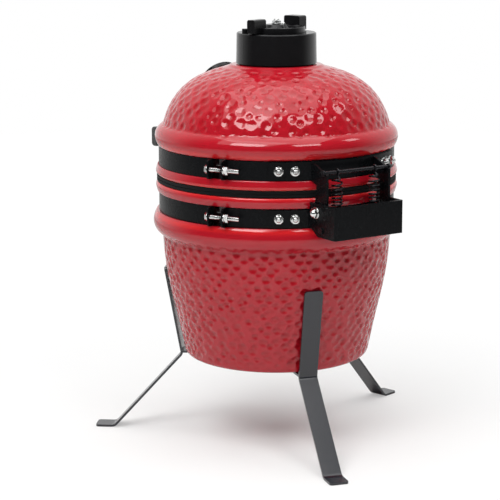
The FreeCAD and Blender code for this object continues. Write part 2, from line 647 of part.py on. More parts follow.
def gauge_parts():
    stem = fuse(Part.makeCylinder(STEM_R, 74.0, Vector(0, 0, -62.0)),
                Part.makeCylinder(6.0, 6.0, Vector(0, 0, 3.0)))
    back = turn_points([rz(6.2, 4.0), rz(12.0, 4.0), rz(GAUGE_R - 1.5, 8.0), rz(GAUGE_R - 1.5, 15.0),
                        rz(GAUGE_R - 3.0, 15.0), rz(GAUGE_R - 3.0, 9.5), rz(6.2, 9.5)])
    bezel = turn_points([rz(GAUGE_R - 1.2, 10.5), rz(GAUGE_R, 11.5), rz(GAUGE_R, 16.5),
                         rz(GAUGE_R - 1.0, 17.5), rz(GAUGE_R - 4.0, 17.5), rz(GAUGE_R - 4.0, 16.6),
                         rz(GAUGE_R - 1.2, 16.6)])
    dial = turn_points([rz(0.9, 12.2), rz(GAUGE_R - 3.3, 12.2), rz(GAUGE_R - 3.3, 12.9), rz(0.9, 12.9)])
    lens = turn_points([rz(0, 15.1), rz(GAUGE_R - 1.5, 15.1), rz(GAUGE_R - 1.5, 16.5), rz(0, 16.5)])
    hand = fuse(box(-6.0, 18.0, -0.7, 0.7, 13.4, 14.0), Part.makeCylinder(2.2, 0.9, Vector(0, 0, 13.3)),
                Part.makeCylinder(0.8, 1.3, Vector(0, 0, 12.1)))
    wing_nut = fuse(hexagon(Vector(0, 0, -WALL - 6.0), Vector(0, 0, 1), 12.0, 4.5),
                    box(-14, 14, -1.2, 1.2, -WALL - 5.5, -WALL - 1.0))
    wing_nut = wing_nut.cut(Part.makeCylinder(STEM_R + RUN, 20.0, Vector(0, 0, -WALL - 12.0)))
    hand_start = hand.copy()
    hand_start.rotate(Vector(0, 0, 0), Vector(0, 0, 1), 225.0)
    return {name: place_along(shape, gauge_point(0.0), gauge_axis()) for name, shape in (
        ("thermometer_stem", stem), ("thermometer_case", back), ("thermometer_bezel", bezel),
        ("thermometer_dial", dial), ("thermometer_lens", lens), ("thermometer_pointer", hand_start),
        ("thermometer_wing_nut", wing_nut))}


# ---- handle --------------------------------------------------------------------------------
def handle_grip():
    """Bar with rounded edges, drilled from behind for its two screws."""
    y0, y1 = HANDLE_Y - HANDLE_T / 2, HANDLE_Y + HANDLE_T / 2
    grip = box(-HANDLE_HALF, HANDLE_HALF, y0, y1, HANDLE_Z - HANDLE_H / 2, HANDLE_Z + HANDLE_H / 2)
    grip = grip.makeFillet(5.0, [e for e in grip.Edges if e.BoundBox.XLength > HANDLE_HALF])
    grip = grip.makeFillet(2.0, [e for e in grip.Edges if e.BoundBox.XLength < 0.1])
    hole = rod(Vector(HANDLE_SCREW_X, y1 - 11.0, UPPER_BAND_MID),
               Vector(HANDLE_SCREW_X, y1 + 1, UPPER_BAND_MID), M5_R + RUN)
    return grip.cut(hole).cut(mirror_x(hole))


def handle_foot_deg():
    """Angle of the screw through the +X bracket's foot and the band."""
    return -(side_angle(HANDLE_POST_X) - 5.5)


def handle_foot_hole(r, inner, outer):
    a = handle_foot_deg()
    return rod(radial(a, inner, UPPER_BAND_MID), radial(a, outer, UPPER_BAND_MID), r)


def handle_bracket():
    """Steel bracket on the +X side: a foot on the band, a web and a tab behind the grip."""
    seat = BAND_SEAT_R + BAND_T + FIT / 2
    back = HANDLE_Y + HANDLE_T / 2 + FIT / 3
    z0, z1 = UPPER_BAND_MID - HANDLE_PLATE_HALF, UPPER_BAND_MID + HANDLE_PLATE_HALF
    root_y = -math.sqrt(seat ** 2 - HANDLE_POST_X ** 2)
    web = box(HANDLE_POST_X - HINGE_T / 2, HANDLE_POST_X + HINGE_T / 2, back, root_y, z0, z1)
    tab = box(HANDLE_POST_X - 11.0, HANDLE_POST_X + 11.0, back, back + HINGE_T, z0, z1)
    start = side_angle(HANDLE_POST_X)
    foot = flange(z0, z1, start - 9.5, start + 0.8, FIT / 2).mirror(Vector(0, 0, 0), Vector(0, 1, 0))
    bracket = fuse(web, tab, foot).cut(Part.makeCylinder(seat, 80, Vector(0, 0, UPPER_BAND_MID - 40)))
    grip_hole = rod(Vector(HANDLE_SCREW_X, back - 2, UPPER_BAND_MID),
                    Vector(HANDLE_SCREW_X, back + 12, UPPER_BAND_MID), M5_R + RUN)
    return bracket.cut(handle_foot_hole(M5_R + RUN, seat - 5, seat + 12)).cut(grip_hole)


def handle_screws():
    """The +X bracket's two screws, one into the grip and one through the band."""
    x, z = HANDLE_SCREW_X, UPPER_BAND_MID
    back = HANDLE_Y + HANDLE_T / 2
    head_y = back + FIT / 3 + HINGE_T + 0.1
    into_grip = fuse(rod(Vector(x, head_y + M5_HEAD_H, z), Vector(x, head_y, z), M5_HEAD_R),
                     rod(Vector(x, head_y + 1.0, z), Vector(x, back - 10.5, z), M5_R))
    face = BAND_SEAT_R + BAND_T + FIT / 2 + HINGE_T + 0.1
    into_band = fuse(handle_foot_hole(M5_HEAD_R, face, face + M5_HEAD_H),
                     handle_foot_hole(M5_R, BAND_SEAT_R + 0.05, face + 1.0))
    return into_grip, into_band


def handle_band_holes():
    hole = handle_foot_hole(M5_R + RUN, BAND_SEAT_R - 2, BAND_SEAT_R + 8)
    return hole.fuse(mirror_x(hole))


# ---- draft door ----------------------------------------------------------------------------
def flank_strip(gap, thick, z0, z1, half_deg, middle=-90.0):
    """Sheet that follows the base's flank at a gap, between two heights and two angles."""
    low, high = side_radius(z0), side_radius(z1)
    strip = turn_points([rz(low + gap, z0), rz(low + gap + thick, z0),
                         rz(high + gap + thick, z1), rz(high + gap, z1)])
    return strip.common(sector(middle - half_deg, middle + half_deg, 400, z0 - 5, z1 + 5))


def door_half_width():
    return DOOR_R * math.sin(math.radians(DOOR_HALF_DEG))


def draft_cutter():
    """Opening through the wall for the draft sleeve."""
    half_w = door_half_width() + FIT
    return box(-half_w, half_w, -RIM_R, -DOOR_R / 2, DOOR_LOW - FIT, DOOR_HIGH + FIT)


def draft_parts():
    """Steel sleeve and face plate in the opening, and a curved door that slides round it."""
    sleeve_w = door_half_width()
    sleeve_end = -(FIREBOX_R - FIRE_WALL + 1.0)
    sleeve_outer = box(-sleeve_w, sleeve_w, -RIM_R, sleeve_end, DOOR_LOW, DOOR_HIGH)
    sleeve_inner = box(-sleeve_w + SHEET, sleeve_w - SHEET, -RIM_R, sleeve_end + 5.0,
                       DOOR_LOW + SHEET, DOOR_HIGH - SHEET)
    door_deg = DOOR_HALF_DEG + 1.5
    face_deg = door_deg + 3.5 + DOOR_SLIDE_DEG / 2
    middle = -90.0 - DOOR_SLIDE_DEG / 2
    z0, z1 = DOOR_LOW - 8.0, DOOR_HIGH + 8.0
    face = flank_strip(FIT, SHEET, z0, z1, face_deg, middle)
    outer_limit = flank_strip(-60.0, 60.0 + FIT + SHEET, z0, z1, face_deg, middle)
    frame = face.fuse(sleeve_outer.common(outer_limit)).cut(sleeve_inner)
    track = SHEET + FIT * 2
    rails = []
    for lip_z0, lip_z1, wall_z0 in ((z0 + 1.0, z0 + 6.0, z0 + 1.0), (z1 - 6.0, z1 - 1.0, z1 - 2.5)):
        rails.append(flank_strip(FIT, SHEET + track + SHEET, wall_z0, wall_z0 + SHEET, face_deg, middle))
        rails.append(flank_strip(FIT + SHEET + track, SHEET, lip_z0, lip_z1, face_deg, middle))
    frame = fuse(frame, *rails)
    door_gap = FIT + SHEET + FIT
    door = flank_strip(door_gap, SHEET, z0 + 3.0, z1 - 3.0, door_deg)
    knob_z = (DOOR_LOW + DOOR_HIGH) / 2
    knob_deg = -90.0 + DOOR_HALF_DEG - 3.0
    knob = turn_points([rz(0, 0), rz(4.0, 0), rz(3.2, 5.0), rz(7.0, 8.0), rz(7.0, 13.0), rz(5.5, 15.0),
                        rz(0, 15.0)])
    knob = place_along(knob, radial(knob_deg, side_radius(knob_z) + door_gap + SHEET + 1.0, knob_z),
                       outward(knob_deg))
    screws = []
    for d in (middle - face_deg + 1.8, middle + face_deg - 1.8):
        for z in (DOOR_LOW + 6.0, DOOR_HIGH - 6.0):
            r = side_radius(z) + FIT + SHEET + 0.8
            screws.append(rod(radial(d, r, z), radial(d, r + 1.6, z), 2.6))
    return frame, door, knob, group(*screws)


# ---- fire parts ----------------------------------------------------------------------------
def fire_box():
    """Ceramic bowl on the base's floor, with a ledge for the charcoal grate and air holes."""
    floor_z = BASE_FLOOR_Z + BASE_FLOOR_WALL
    inner_r = FIREBOX_FOOT_R - 20.0
    bowl = turn_points([rz(inner_r, floor_z), rz(FIREBOX_FOOT_R, floor_z),
                        rz(FIREBOX_R - 12.0, CHAR_GRATE_Z + 20.0),
                        rz(FIREBOX_R, FIREBOX_TOP), rz(FIREBOX_R - FIRE_WALL, FIREBOX_TOP),
                        rz(CHAR_GRATE_R + 8.0, CHAR_GRATE_Z + 10.0), rz(CHAR_GRATE_R + 3.0, CHAR_GRATE_Z),
                        rz(inner_r, CHAR_GRATE_Z)])
    mouth = box(-30, 30, -FIREBOX_R, -inner_r / 2, floor_z + 6.0, CHAR_GRATE_Z - 8.0)
    hole_z = CHAR_GRATE_Z + 34.0
    hole_degs = [30.0 * i + 15.0 for i in range(12)]
    holes = [rod(radial(d, inner_r, hole_z), radial(d, FIREBOX_R, hole_z), 6.0) for d in hole_degs]
    return bowl.cut(mouth).cut(holes[0].multiFuse(holes[1:]))


def fire_ring():
    """Ceramic ring on the fire box that carries the cooking grate."""
    z0 = FIREBOX_TOP
    return turn_points([rz(FIREBOX_R - FIRE_WALL, z0), rz(FIREBOX_R, z0), rz(RING_R, z0 + 14.0),
                        rz(RING_R, RING_TOP), rz(RING_R - FIRE_WALL, RING_TOP),
                        rz(RING_R - FIRE_WALL, z0 + 16.0)])


def charcoal_grate():
    """Cast disc with slots, a rim and a cross rib."""
    z = CHAR_GRATE_Z
    disc = Part.makeCylinder(CHAR_GRATE_R, 6.0, Vector(0, 0, z))
    slots = []
    pitch = 15.0
    rows = int((CHAR_GRATE_R - 9.0) / pitch)
    for i in range(-rows, rows + 1):
        x = i * pitch
        reach = math.sqrt((CHAR_GRATE_R - 8.0) ** 2 - x ** 2)
        for y0, y1 in ((-reach, -5.0), (5.0, reach)):
            if y1 - y0 > 12:
                slots.append(box(x - 4.0, x + 4.0, y0, y1, z - 1, z + 7))
    return disc.cut(slots[0].multiFuse(slots[1:]))


def cooking_grate():
    """Round wire grate: a rim, parallel rods and two cross rods below them."""
    z = RING_TOP + COOK_WIRE / 2
    rim_r = COOK_GRATE_R - COOK_WIRE / 2
    rim = Part.makeTorus(rim_r, COOK_WIRE / 2, Vector(0, 0, z))
    rows = int((rim_r - 8.0) / COOK_PITCH)
    wires = []
    for x in [i * COOK_PITCH for i in range(-rows, rows + 1)]:
        reach = math.sqrt(rim_r ** 2 - x ** 2)
        wires.append(rod(Vector(x, -reach, z), Vector(x, reach, z), COOK_ROD_R))
    cross_z = z - 1.25 * COOK_ROD_R
    cross = []
    for y in (-0.375 * COOK_GRATE_R, 0.375 * COOK_GRATE_R):
        reach = math.sqrt(rim_r ** 2 - y ** 2)
        cross.append(rod(Vector(-reach, y, cross_z), Vector(reach, y, cross_z), COOK_ROD_R))
    clear = Part.makeCylinder(COOK_GRATE_R + 5.0, 20, Vector(0, 0, RING_TOP + 0.1))
    return fuse(rim, *wires, *cross).common(clear)


# ---- stand ---------------------------------------------------------------------------------
def strip_along(points, width, thickness, bend_radii):
    """Flat bar bent in a plane: offset both sides of a centre line with rounded bends."""
    way_in = [(b - a).normalize() for a, b in zip(points, points[1:])]
    normals = [Vector(-d.z, 0, d.x) for d in way_in]
    sides = []
    for sign in (1, -1):
        shift = thickness / 2 * sign
        line_pts = [points[0] + normals[0] * shift]
        for i in range(1, len(points) - 1):
            n0, n1 = normals[i - 1], normals[i]
            mitre = (n0 + n1).normalize()
            line_pts.append(points[i] + mitre * (shift / mitre.dot(n0)))
        line_pts.append(points[-1] + normals[-1] * shift)
        sides.append(line_pts)
    outline = sides[0] + sides[1][::-1]
    for p in outline:
        p.y = -width / 2
    solid = extrude_plate(outline, Vector(0, width, 0))
    for point, inside_r in zip(points[1:-1], bend_radii):
        near = [e for e in solid.Edges if e.BoundBox.YLength > width - 0.1
                and (Vector(e.CenterOfMass.x, 0, e.CenterOfMass.z) - point).Length < thickness * 1.2]
        reach = [(Vector(e.CenterOfMass.x, 0, e.CenterOfMass.z), e) for e in near]
        if len(reach) == 2:
            inner, outer = sorted(reach, key=lambda item: item[0].z * bend_sign(points, point))
            solid = solid.makeFillet(inside_r, [inner[1]])
            again = [e for e in solid.Edges if e.BoundBox.YLength > width - 0.1
                     and (Vector(e.CenterOfMass.x, 0, e.CenterOfMass.z) - outer[0]).Length < 0.2]
            solid = solid.makeFillet(inside_r + thickness, again)
    return solid


def bend_sign(points, point):
    """+1 where the bend's inner edge is the lower one, -1 where it is the upper one."""
    i = points.index(point)
    before, after = points[i - 1], points[i + 1]
    middle = (before + after) * 0.5
    return -1.0 if middle.z > point.z else 1.0


def leg_top_radius():
    """Where the cheek's top must stand for the straight bar to clear the barrelled flank."""
    rise = LEG_TOP_Z - KNEE_Z
    stand_off = CHEEK_GAP + LEG_T / 2 * 1.04
    heights = [KNEE_Z + rise * i / 24 for i in range(6, 25)]
    return max(KNEE_R + (side_radius(z) + stand_off - KNEE_R) * rise / (z - KNEE_Z) for z in heights)


def leg(degrees):
    """Bent flat bar: a floor pad, a sloping shank up to the knee, and a cheek on the body."""
    points = [rz(TOE_R, LEG_T / 2), rz(HEEL_R, LEG_T / 2), rz(KNEE_R, KNEE_Z),
              rz(leg_top_radius(), LEG_TOP_Z)]
    bar = strip_along(points, LEG_W, LEG_T, (9.0, 5.0))
    ends = [e for e in bar.Edges
            if (e.BoundBox.XMin > TOE_R - 0.2 and e.BoundBox.ZLength > LEG_T - 0.5)
            or (e.BoundBox.ZMin > LEG_TOP_Z - 2.5 and e.BoundBox.YLength < 0.1)]
    bar = bar.makeFillet(4.0, ends)
    return about_z(bar, degrees)


def cradle(legs):
    """Three flat bars from a hub plate, each butted and welded to the inside of a knee."""
    top = BASE_FLOOR_Z - 0.1
    arms = [about_z(box(0, KNEE_R, -LEG_W / 2, LEG_W / 2, top - LEG_T, top), d) for d in LEG_DEG]
    hub = Part.makeCylinder(30.0, LEG_T, Vector(0, 0, top - LEG_T))
    return fuse(hub, *arms).cut(legs[0].multiFuse(legs[1:]))


# ---- the whole model -----------------------------------------------------------------------
def build():
    upper_hoop = band(UPPER_BAND_Z).cut(flange_holes(UPPER_BAND_MID)).cut(handle_band_holes())
    lower_hoop = band(LOWER_BAND_Z).cut(flange_holes(LOWER_BAND_MID))
    low_felt, high_felt = gaskets()
    upper_bolts, upper_nuts = flange_bolts(UPPER_BAND_MID)
    lower_bolts, lower_nuts = flange_bolts(LOWER_BAND_MID)
    stud, stud_nut, rivet, cap_screw = vent_hardware()
    bracket = handle_bracket()
    grip_screw, band_screw = handle_screws()
    frame, door, knob, frame_screws = draft_parts()
    nodes = {
        "base_shell": base_shell(), "lid_shell": lid_shell(),
        "base_gasket": low_felt, "lid_gasket": high_felt,
        "upper_band": upper_hoop, "lower_band": lower_hoop,
        "upper_band_bolt": clamp_bolt(UPPER_BAND_MID), "upper_band_nut": clamp_nut(UPPER_BAND_MID),
        "lower_band_bolt": clamp_bolt(LOWER_BAND_MID), "lower_band_nut": clamp_nut(LOWER_BAND_MID),
        "hinge_lower_bracket": lower_bracket(), "hinge_upper_bracket": upper_bracket(),
        "hinge_pivot_bolts": pivot_bolts(), "hinge_pivot_nuts": pivot_nuts(),
        "spring_bar": spring_bar(SPRING_BAR_Z, ARM_X), "anchor_bar": spring_bar(ANCHOR_BAR_Z, HINGE_HALF),
        "spring_left": spring(SPRING_X), "spring_right": spring(-SPRING_X),
        "upper_bracket_bolts": upper_bolts, "upper_bracket_nuts": upper_nuts,
        "lower_bracket_bolts": lower_bolts, "lower_bracket_nuts": lower_nuts,
        "vent_collar": vent_collar(), "vent_wheel": vent_wheel(), "vent_stud": stud,
        "vent_stud_nut": stud_nut, "vent_hub_rivet": rivet, "vent_cap_screw": cap_screw,
        "neck_gasket": neck_gasket(),
        "handle_grip": handle_grip(), "handle_brackets": group(bracket, mirror_x(bracket)),
        "handle_screws": group(grip_screw, band_screw, mirror_x(grip_screw), mirror_x(band_screw)),
        "draft_frame": frame, "draft_door": door, "draft_knob": knob, "draft_frame_screws": frame_screws,
        "fire_box": fire_box(), "fire_ring": fire_ring(),
        "charcoal_grate": charcoal_grate(), "cooking_grate": cooking_grate(),
    }
    nodes.update(gauge_parts())
    legs = [leg(degrees) for degrees in LEG_DEG]
    nodes.update(zip(("leg_left", "leg_rear", "leg_right"), legs))
    nodes["stand_cradle"] = cradle(legs)
    return nodes


def main():
    os.makedirs("parts", exist_ok=True)
    for name, shape in build().items():
        shape.exportStep("parts/" + name + ".step")
        print(name, len(shape.Solids), shape.isValid(), round(shape.Volume))


main()
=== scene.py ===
import json
import math

import bpy
import numpy as np
from bpy.props import FloatProperty, FloatVectorProperty, IntProperty, PointerProperty
from bpy.types import Operator, Panel, PropertyGroup
from mathutils import Matrix, Vector


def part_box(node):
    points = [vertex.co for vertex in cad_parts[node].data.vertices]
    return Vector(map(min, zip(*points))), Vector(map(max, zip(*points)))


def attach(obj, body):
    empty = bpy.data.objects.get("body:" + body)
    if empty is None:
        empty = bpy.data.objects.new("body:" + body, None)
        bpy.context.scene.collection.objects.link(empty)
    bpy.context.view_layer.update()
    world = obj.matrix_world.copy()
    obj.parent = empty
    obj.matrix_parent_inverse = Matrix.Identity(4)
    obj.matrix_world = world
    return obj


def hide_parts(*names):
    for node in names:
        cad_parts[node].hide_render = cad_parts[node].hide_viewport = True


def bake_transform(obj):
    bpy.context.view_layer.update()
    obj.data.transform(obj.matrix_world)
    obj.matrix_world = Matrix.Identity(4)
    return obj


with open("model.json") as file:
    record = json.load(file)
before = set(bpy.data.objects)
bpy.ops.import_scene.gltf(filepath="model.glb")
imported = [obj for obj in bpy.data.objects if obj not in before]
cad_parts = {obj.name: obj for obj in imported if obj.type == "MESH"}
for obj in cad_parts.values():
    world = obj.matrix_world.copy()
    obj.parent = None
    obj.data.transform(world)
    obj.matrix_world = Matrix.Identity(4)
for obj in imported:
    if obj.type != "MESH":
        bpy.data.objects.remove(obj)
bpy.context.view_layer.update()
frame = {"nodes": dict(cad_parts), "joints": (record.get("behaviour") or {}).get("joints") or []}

bl_info = {
    "name": "Kamado grill finish",
    "version": (1, 0, 0),
    "blender": (4, 5, 0),
    "location": "View3D > Sidebar > Grill",
    "description": "Glazed shells, steelwork, fasteners and studio for a small kamado grill",
    "category": "Object",
}

# The grill's own frame: +Z up, the hinge at +Y, the handle at -Y.  Shapes are worked out in
# millimetres and put into their meshes in metres.
MM = 0.001
FULL_TURN = 2 * math.pi

# ---- sizes that the frame doesn't give, in millimetres -------------------------------------
WALL = 16.0
RIM_R = 160.6              # the two lips
BAND_SEAT_R = 154.4        # groove under a band
BAND_PLAY = 0.3
FLOOR_R = 114.0            # flat underside of the base
INNER_FLOOR = 20.0
FLANK_FOOT = (125.0, 122.0)
FLANK = (FLANK_FOOT, (134.5, 166.0), (145.2, 214.0), (150.6, 252.0), (152.2, 276.0))
BASE_BULGE = (164.0, 297.5)
BASE_BULGE_TOP_R = 160.0
LID_BULGE = (161.2, 407.0)
LID_BULGE_FOOT_R = 156.7
DOME = ((150.8, 424.5), (146.0, 438.5), (134.4, 459.4), (112.5, 480.3), (90.0, 491.2), (64.0, 499.0))
NECK_R = 60.0
FLUE_R = 32.0
FLUE_FOOT_Z = 478.0
LIP_SOFT = 2.2             # rounding of a lip's edges
GROOVE_SOFT = 0.8
SHELL_COLUMNS = 720
USUAL_DEPTH = 0.42         # glaze depth from 0, thin, to 1, pooled, where nothing changes it
SHADED_SEAT_DEPTH = 2.0                # glaze depth that stands for painted shade in a band's seat
PIT_STEP = 1.45            # spacing of the rows where the glaze is pitted
WINDOW_AT_DEG = 270.0      # the draft opening
WINDOW_DEG = 17.4          # half its angle
WINDOW_Z = (145.6, 176.4)
GASKET_SOFT = 1.1
CLAMP_DEG = 28.5           # where a band's ears stand
CLAMP_EAR_FACE = 11.0      # an ear's outer face from the middle of the mouth
M6_RADIUS = 3.0
M6_ACROSS = 10.0
M6_WASHER_R = 6.0
WASHER_T = 1.2
SEAT_GAP = 0.1             # between a fastener and the face it is tightened on
CLAMP_HEAD_H = 3.0
CLAMP_NUT_H = 5.5
FLANGE_NUT_H = 4.6
HINGE_HALF = 53.0
SPRING_WIRE = 2.2
SPRING_HOOK_R = 3.75
SPRING_RISE = 4.5          # from a hook to its end of the coil
DIAL_R = 21.5
SCALE_START_DEG = 90.0     # where the pointer rests, clockwise from the top of the dial
SCALE_SWEEP_DEG = 270.0
SCALE_NUMBERS = 9
NOISE_REACH = (0.3, 0.7)   # values between which soft noise nearly always lies


# ---- colours and nodes ---------------------------------------------------------------------
def linear(code):
    """Linear RGBA of an sRGB hex colour."""
    value = np.array([int(code[i:i + 2], 16) for i in (0, 2, 4)]) / 255.0
    return (*np.where(value <= 0.04045, value / 12.92, ((value + 0.055) / 1.055) ** 2.4), 1.0)


def add(tree, kind, settings=None, inputs=None):
    """Add one node, with its settings, and set or link its inputs."""
    made = tree.nodes.new(kind)
    for key, value in (settings or {}).items():
        setattr(made, key, value)
    for key, value in (inputs or {}).items():
        if isinstance(value, bpy.types.NodeSocket):
            tree.links.new(value, made.inputs[key])
        else:
            made.inputs[key].default_value = value
    return made


def grain(size, detail=3.0, roughness=0.55):
    """A pattern of soft noise: its features' size in millimetres, its detail and its roughness."""
    return size, detail, roughness


def cover(tree, shader, source, reach, share, colour):
    """Lay a colour over the shader's base colour, from the first share to the second while the
    source goes over its reach."""
    part = add(tree, "ShaderNodeMapRange", inputs={
        "Value": source, "From Min": reach[0], "From Max": reach[1], "To Min": share[0], "To Max": share[1]})
    under = shader.inputs["Base Color"].links[0].from_socket
    mixed = add(tree, "ShaderNodeMix", {"data_type": "RGBA"}, {
        0: part.outputs["Result"], 6: under, 7: colour})
    tree.links.new(mixed.outputs[2], shader.inputs["Base Color"])


def patterned(name, sockets, colour=None, stain=None, gloss=None, bump=None, stretch=None):
    """A material, its nodes and its shader, patterned by soft noise on the piece's own
    coordinates.  Each part starts with its pattern.  Colour goes on with the colours at noise 0
    and 1, stain with the most it covers and its colour, gloss with the roughness at noise 0.3
    and 0.7, and bump with the depth in millimetres that noise 1 stands for, and its strength."""
    material = bpy.data.materials.new(name)
    material.use_nodes = True
    tree = material.node_tree
    tree.nodes.clear()
    shader = add(tree, "ShaderNodeBsdfPrincipled", inputs=sockets)
    add(tree, "ShaderNodeOutputMaterial", inputs={"Surface": shader.outputs["BSDF"]})
    place = add(tree, "ShaderNodeTexCoord").outputs["Object"]
    if stretch:
        place = add(tree, "ShaderNodeMapping", inputs={"Vector": place, "Scale": stretch}).outputs["Vector"]
    noise = {}
    for pattern in dict.fromkeys(part[0] for part in (colour, stain, gloss, bump) if part):
        size, detail, roughness = pattern
        noise[pattern] = add(tree, "ShaderNodeTexNoise", inputs={
            "Vector": place, "Scale": 1.0 / (size * MM), "Detail": detail,
            "Roughness": roughness}).outputs["Fac"]
    if colour:
        mixed = add(tree, "ShaderNodeMix", {"data_type": "RGBA"}, {
            0: noise[colour[0]], 6: colour[1], 7: colour[2]})
        tree.links.new(mixed.outputs[2], shader.inputs["Base Color"])
    if stain:
        cover(tree, shader, noise[stain[0]], NOISE_REACH, (0.0, stain[1]), stain[2])
    if gloss:
        level = add(tree, "ShaderNodeMapRange", inputs={
            "Value": noise[gloss[0]], "From Min": NOISE_REACH[0], "From Max": NOISE_REACH[1],
            "To Min": gloss[1], "To Max": gloss[2]})
        tree.links.new(level.outputs["Result"], shader.inputs["Roughness"])
    if bump:
        skin = add(tree, "ShaderNodeBump", inputs={
            "Height": noise[bump[0]], "Distance": bump[1] * MM, "Strength": bump[2]})
        tree.links.new(skin.outputs["Normal"], shader.inputs["Normal"])
    return material, tree, shader


# ---- materials -----------------------------------------------------------------------------
def red_glaze(colours):
    """Gloss glaze dipped and fired on stoneware.  It pools in the pits, where it is thick and
    dark, and runs thin and lighter over crests and lips; the fired skin is faintly rippled.
    A depth above 1.4 stands for painted shade: the seat under a band is painted near black, and shows in the
    band's mouth."""
    body, cloud, thin, pool = ((*colour, 1.0) for colour in (
        colours.glaze_body, colours.glaze_cloud, colours.glaze_thin, colours.glaze_pool))
    material, tree, shader = patterned(
        "dipped_red_glaze", {"Roughness": 0.06, "IOR": 1.48}, (grain(26.0), body, cloud),
        bump=(grain(3.2, 2.0), 0.05, 0.6))
    depth = add(tree, "ShaderNodeAttribute", {"attribute_name": "glaze_depth_and_seat_shade"}).outputs["Fac"]
    cover(tree, shader, depth, (0.0, 0.4), (1.0, 0.0), thin)
    cover(tree, shader, depth, (0.45, 1.0), (0.0, 1.0), pool)
    # Painted shade: a depth from 1.2 up turns the glaze near black in a band's seat.
    cover(tree, shader, depth, (1.2, 1.4), (0.0, 1.0), linear("120506"))
    return material


def bare_stoneware():
    """Unglazed stoneware: matt, warm grey and sandy, with dark specks of grog 3.5 mm apart."""
    material, tree, shader = patterned(
        "bare_stoneware", {"Roughness": 0.9}, (grain(12.0), linear("B9A88F"), linear("9C8A74")),
        bump=(grain(1.6), 0.25, 1.0))
    place = add(tree, "ShaderNodeTexCoord").outputs["Object"]
    grog = add(tree, "ShaderNodeTexVoronoi", inputs={"Vector": place, "Scale": 1.0 / (3.5 * MM)})
    cover(tree, shader, grog.outputs["Distance"], (0.08, 0.2), (0.6, 0.0), linear("5B4C3E"))
    return material


def fire_clay():
    """Pressed refractory clay: coarse, pale buff, and smoked grey by the fire in places."""
    return patterned(
        "pressed_fire_clay", {"Roughness": 0.95}, (grain(5.0), linear("C9AD86"), linear("AE8F69")),
        stain=(grain(60.0), 0.55, linear("6E6052")), bump=(grain(2.2), 0.4, 1.0))[0]


def felt():
    """Needled black felt: no shine, a short fuzz that lifts its edges."""
    fuzz = grain(1.4, 5.0, 0.7)
    return patterned(
        "needled_felt",
        {"Roughness": 1.0, "Specular IOR Level": 0.08, "Sheen Weight": 0.05, "Sheen Roughness": 0.6},
        (fuzz, linear("060607"), linear("101011")), bump=(fuzz, 0.4, 1.0))[0]


def powder_coat(name, colour, darkest, roughness, shine):
    """Polyester powder baked on steel: satin, with the fine orange peel of the melted grains.
    The peel is drawn 1.3 mm wide, coarser than the real 0.5 mm, so that it shows."""
    dark = tuple(part * darkest for part in colour)
    return patterned(
        name, {"Specular IOR Level": shine}, (grain(22.0), (*colour, 1.0), (*dark, 1.0)),
        gloss=(grain(9.0), *roughness), bump=(grain(1.3, 2.0), 0.008, 0.5))[0]


def bright_zinc():
    """Electroplated zinc on steel: a bright, slightly milky metal with faint cloudy patches."""
    cloud = grain(3.0)
    return patterned(
        "bright_zinc_plate", {"Metallic": 1.0}, (cloud, linear("E4E4E0"), linear("B9BCBF")),
        gloss=(cloud, 0.06, 0.18), bump=(grain(0.8), 0.008, 1.0))[0]


def spring_wire():
    """Drawn spring wire, blackened in oil: dark, with a hard narrow shine along each coil."""
    cloud = grain(2.5)
    return patterned(
        "oil_black_spring_wire", {"Metallic": 0.75}, (cloud, linear("1B1B1D"), linear("2F2F33")),
        gloss=(cloud, 0.2, 0.34))[0]


def cast_paint():
    """Heat-proof black paint on a sand casting: satin over a faint grain of the mould."""
    mould = grain(1.8, 4.0)
    return patterned(
        "painted_sand_casting", {"Specular IOR Level": 0.3},
        (grain(14.0), linear("0A0A0B"), linear("101012")),
        gloss=(mould, 0.18, 0.27), bump=(mould, 0.05, 0.4))[0]


def grey_iron():
    """Raw cast iron of the lower grate: dark, rough and a little rusty in patches."""
    mould = grain(1.6, 4.0)
    return patterned(
        "raw_grey_iron", {"Metallic": 0.35}, (mould, linear("26262A"), linear("3A3A3D")),
        stain=(grain(17.0, 5.0, 0.65), 0.5, linear("4A3020")), gloss=(mould, 0.55, 0.8),
        bump=(mould, 0.25, 1.0))[0]


def plated_wire():
    """Chromium on drawn wire: a mirror with a bluish cast and faint cloudy patches."""
    cloud = grain(4.0)
    return patterned(
        "chromium_plated_wire", {"Metallic": 1.0}, (cloud, linear("D9DBDE"), linear("B4B8BD")),
        gloss=(cloud, 0.08, 0.2))[0]


def brushed_stainless():
    """Brushed stainless sheet: fine scratches along X, each some 20 mm long and drawn 0.6 mm
    wide so that they show."""
    scratch = grain(0.6, 2.0)
    return patterned(
        "brushed_stainless", {"Metallic": 1.0, "Anisotropic": 0.4},
        (scratch, linear("C2C3C4"), linear("9FA1A3")), gloss=(scratch, 0.26, 0.42),
        bump=(scratch, 0.015, 1.0), stretch=(0.03, 1.0, 1.0))[0]


def moulded_phenolic():
    """Black phenolic pressed in a polished mould: a deep, even satin with faint flow marks."""
    flow = grain(18.0)
    return patterned(
        "moulded_phenolic", {"IOR": 1.6}, (flow, linear("0D0D0E"), linear("161617")),
        gloss=(flow, 0.3, 0.42), bump=(grain(1.5), 0.02, 1.0))[0]


def dial_enamel():
    """Baked white enamel on the gauge's face, very slightly cream in patches."""
    return patterned(
        "white_dial_enamel", {"Roughness": 0.35}, (grain(9.0), linear("EDECE6"), linear("DEDCD2")))[0]


def ink(name, first, second):
    """Pad-printed ink or thin lacquer: flat colour with a little unevenness."""
    return patterned(name, {"Roughness": 0.5}, (grain(2.0), linear(first), linear(second)))[0]


def gauge_glass():
    """Float glass over the dial, with a breath of roughness from handling."""
    return patterned(
        "gauge_glass", {"Base Color": (0.97, 0.99, 0.98, 1.0), "Transmission Weight": 1.0, "IOR": 1.45},
        gloss=(grain(15.0), 0.0, 0.05))[0]


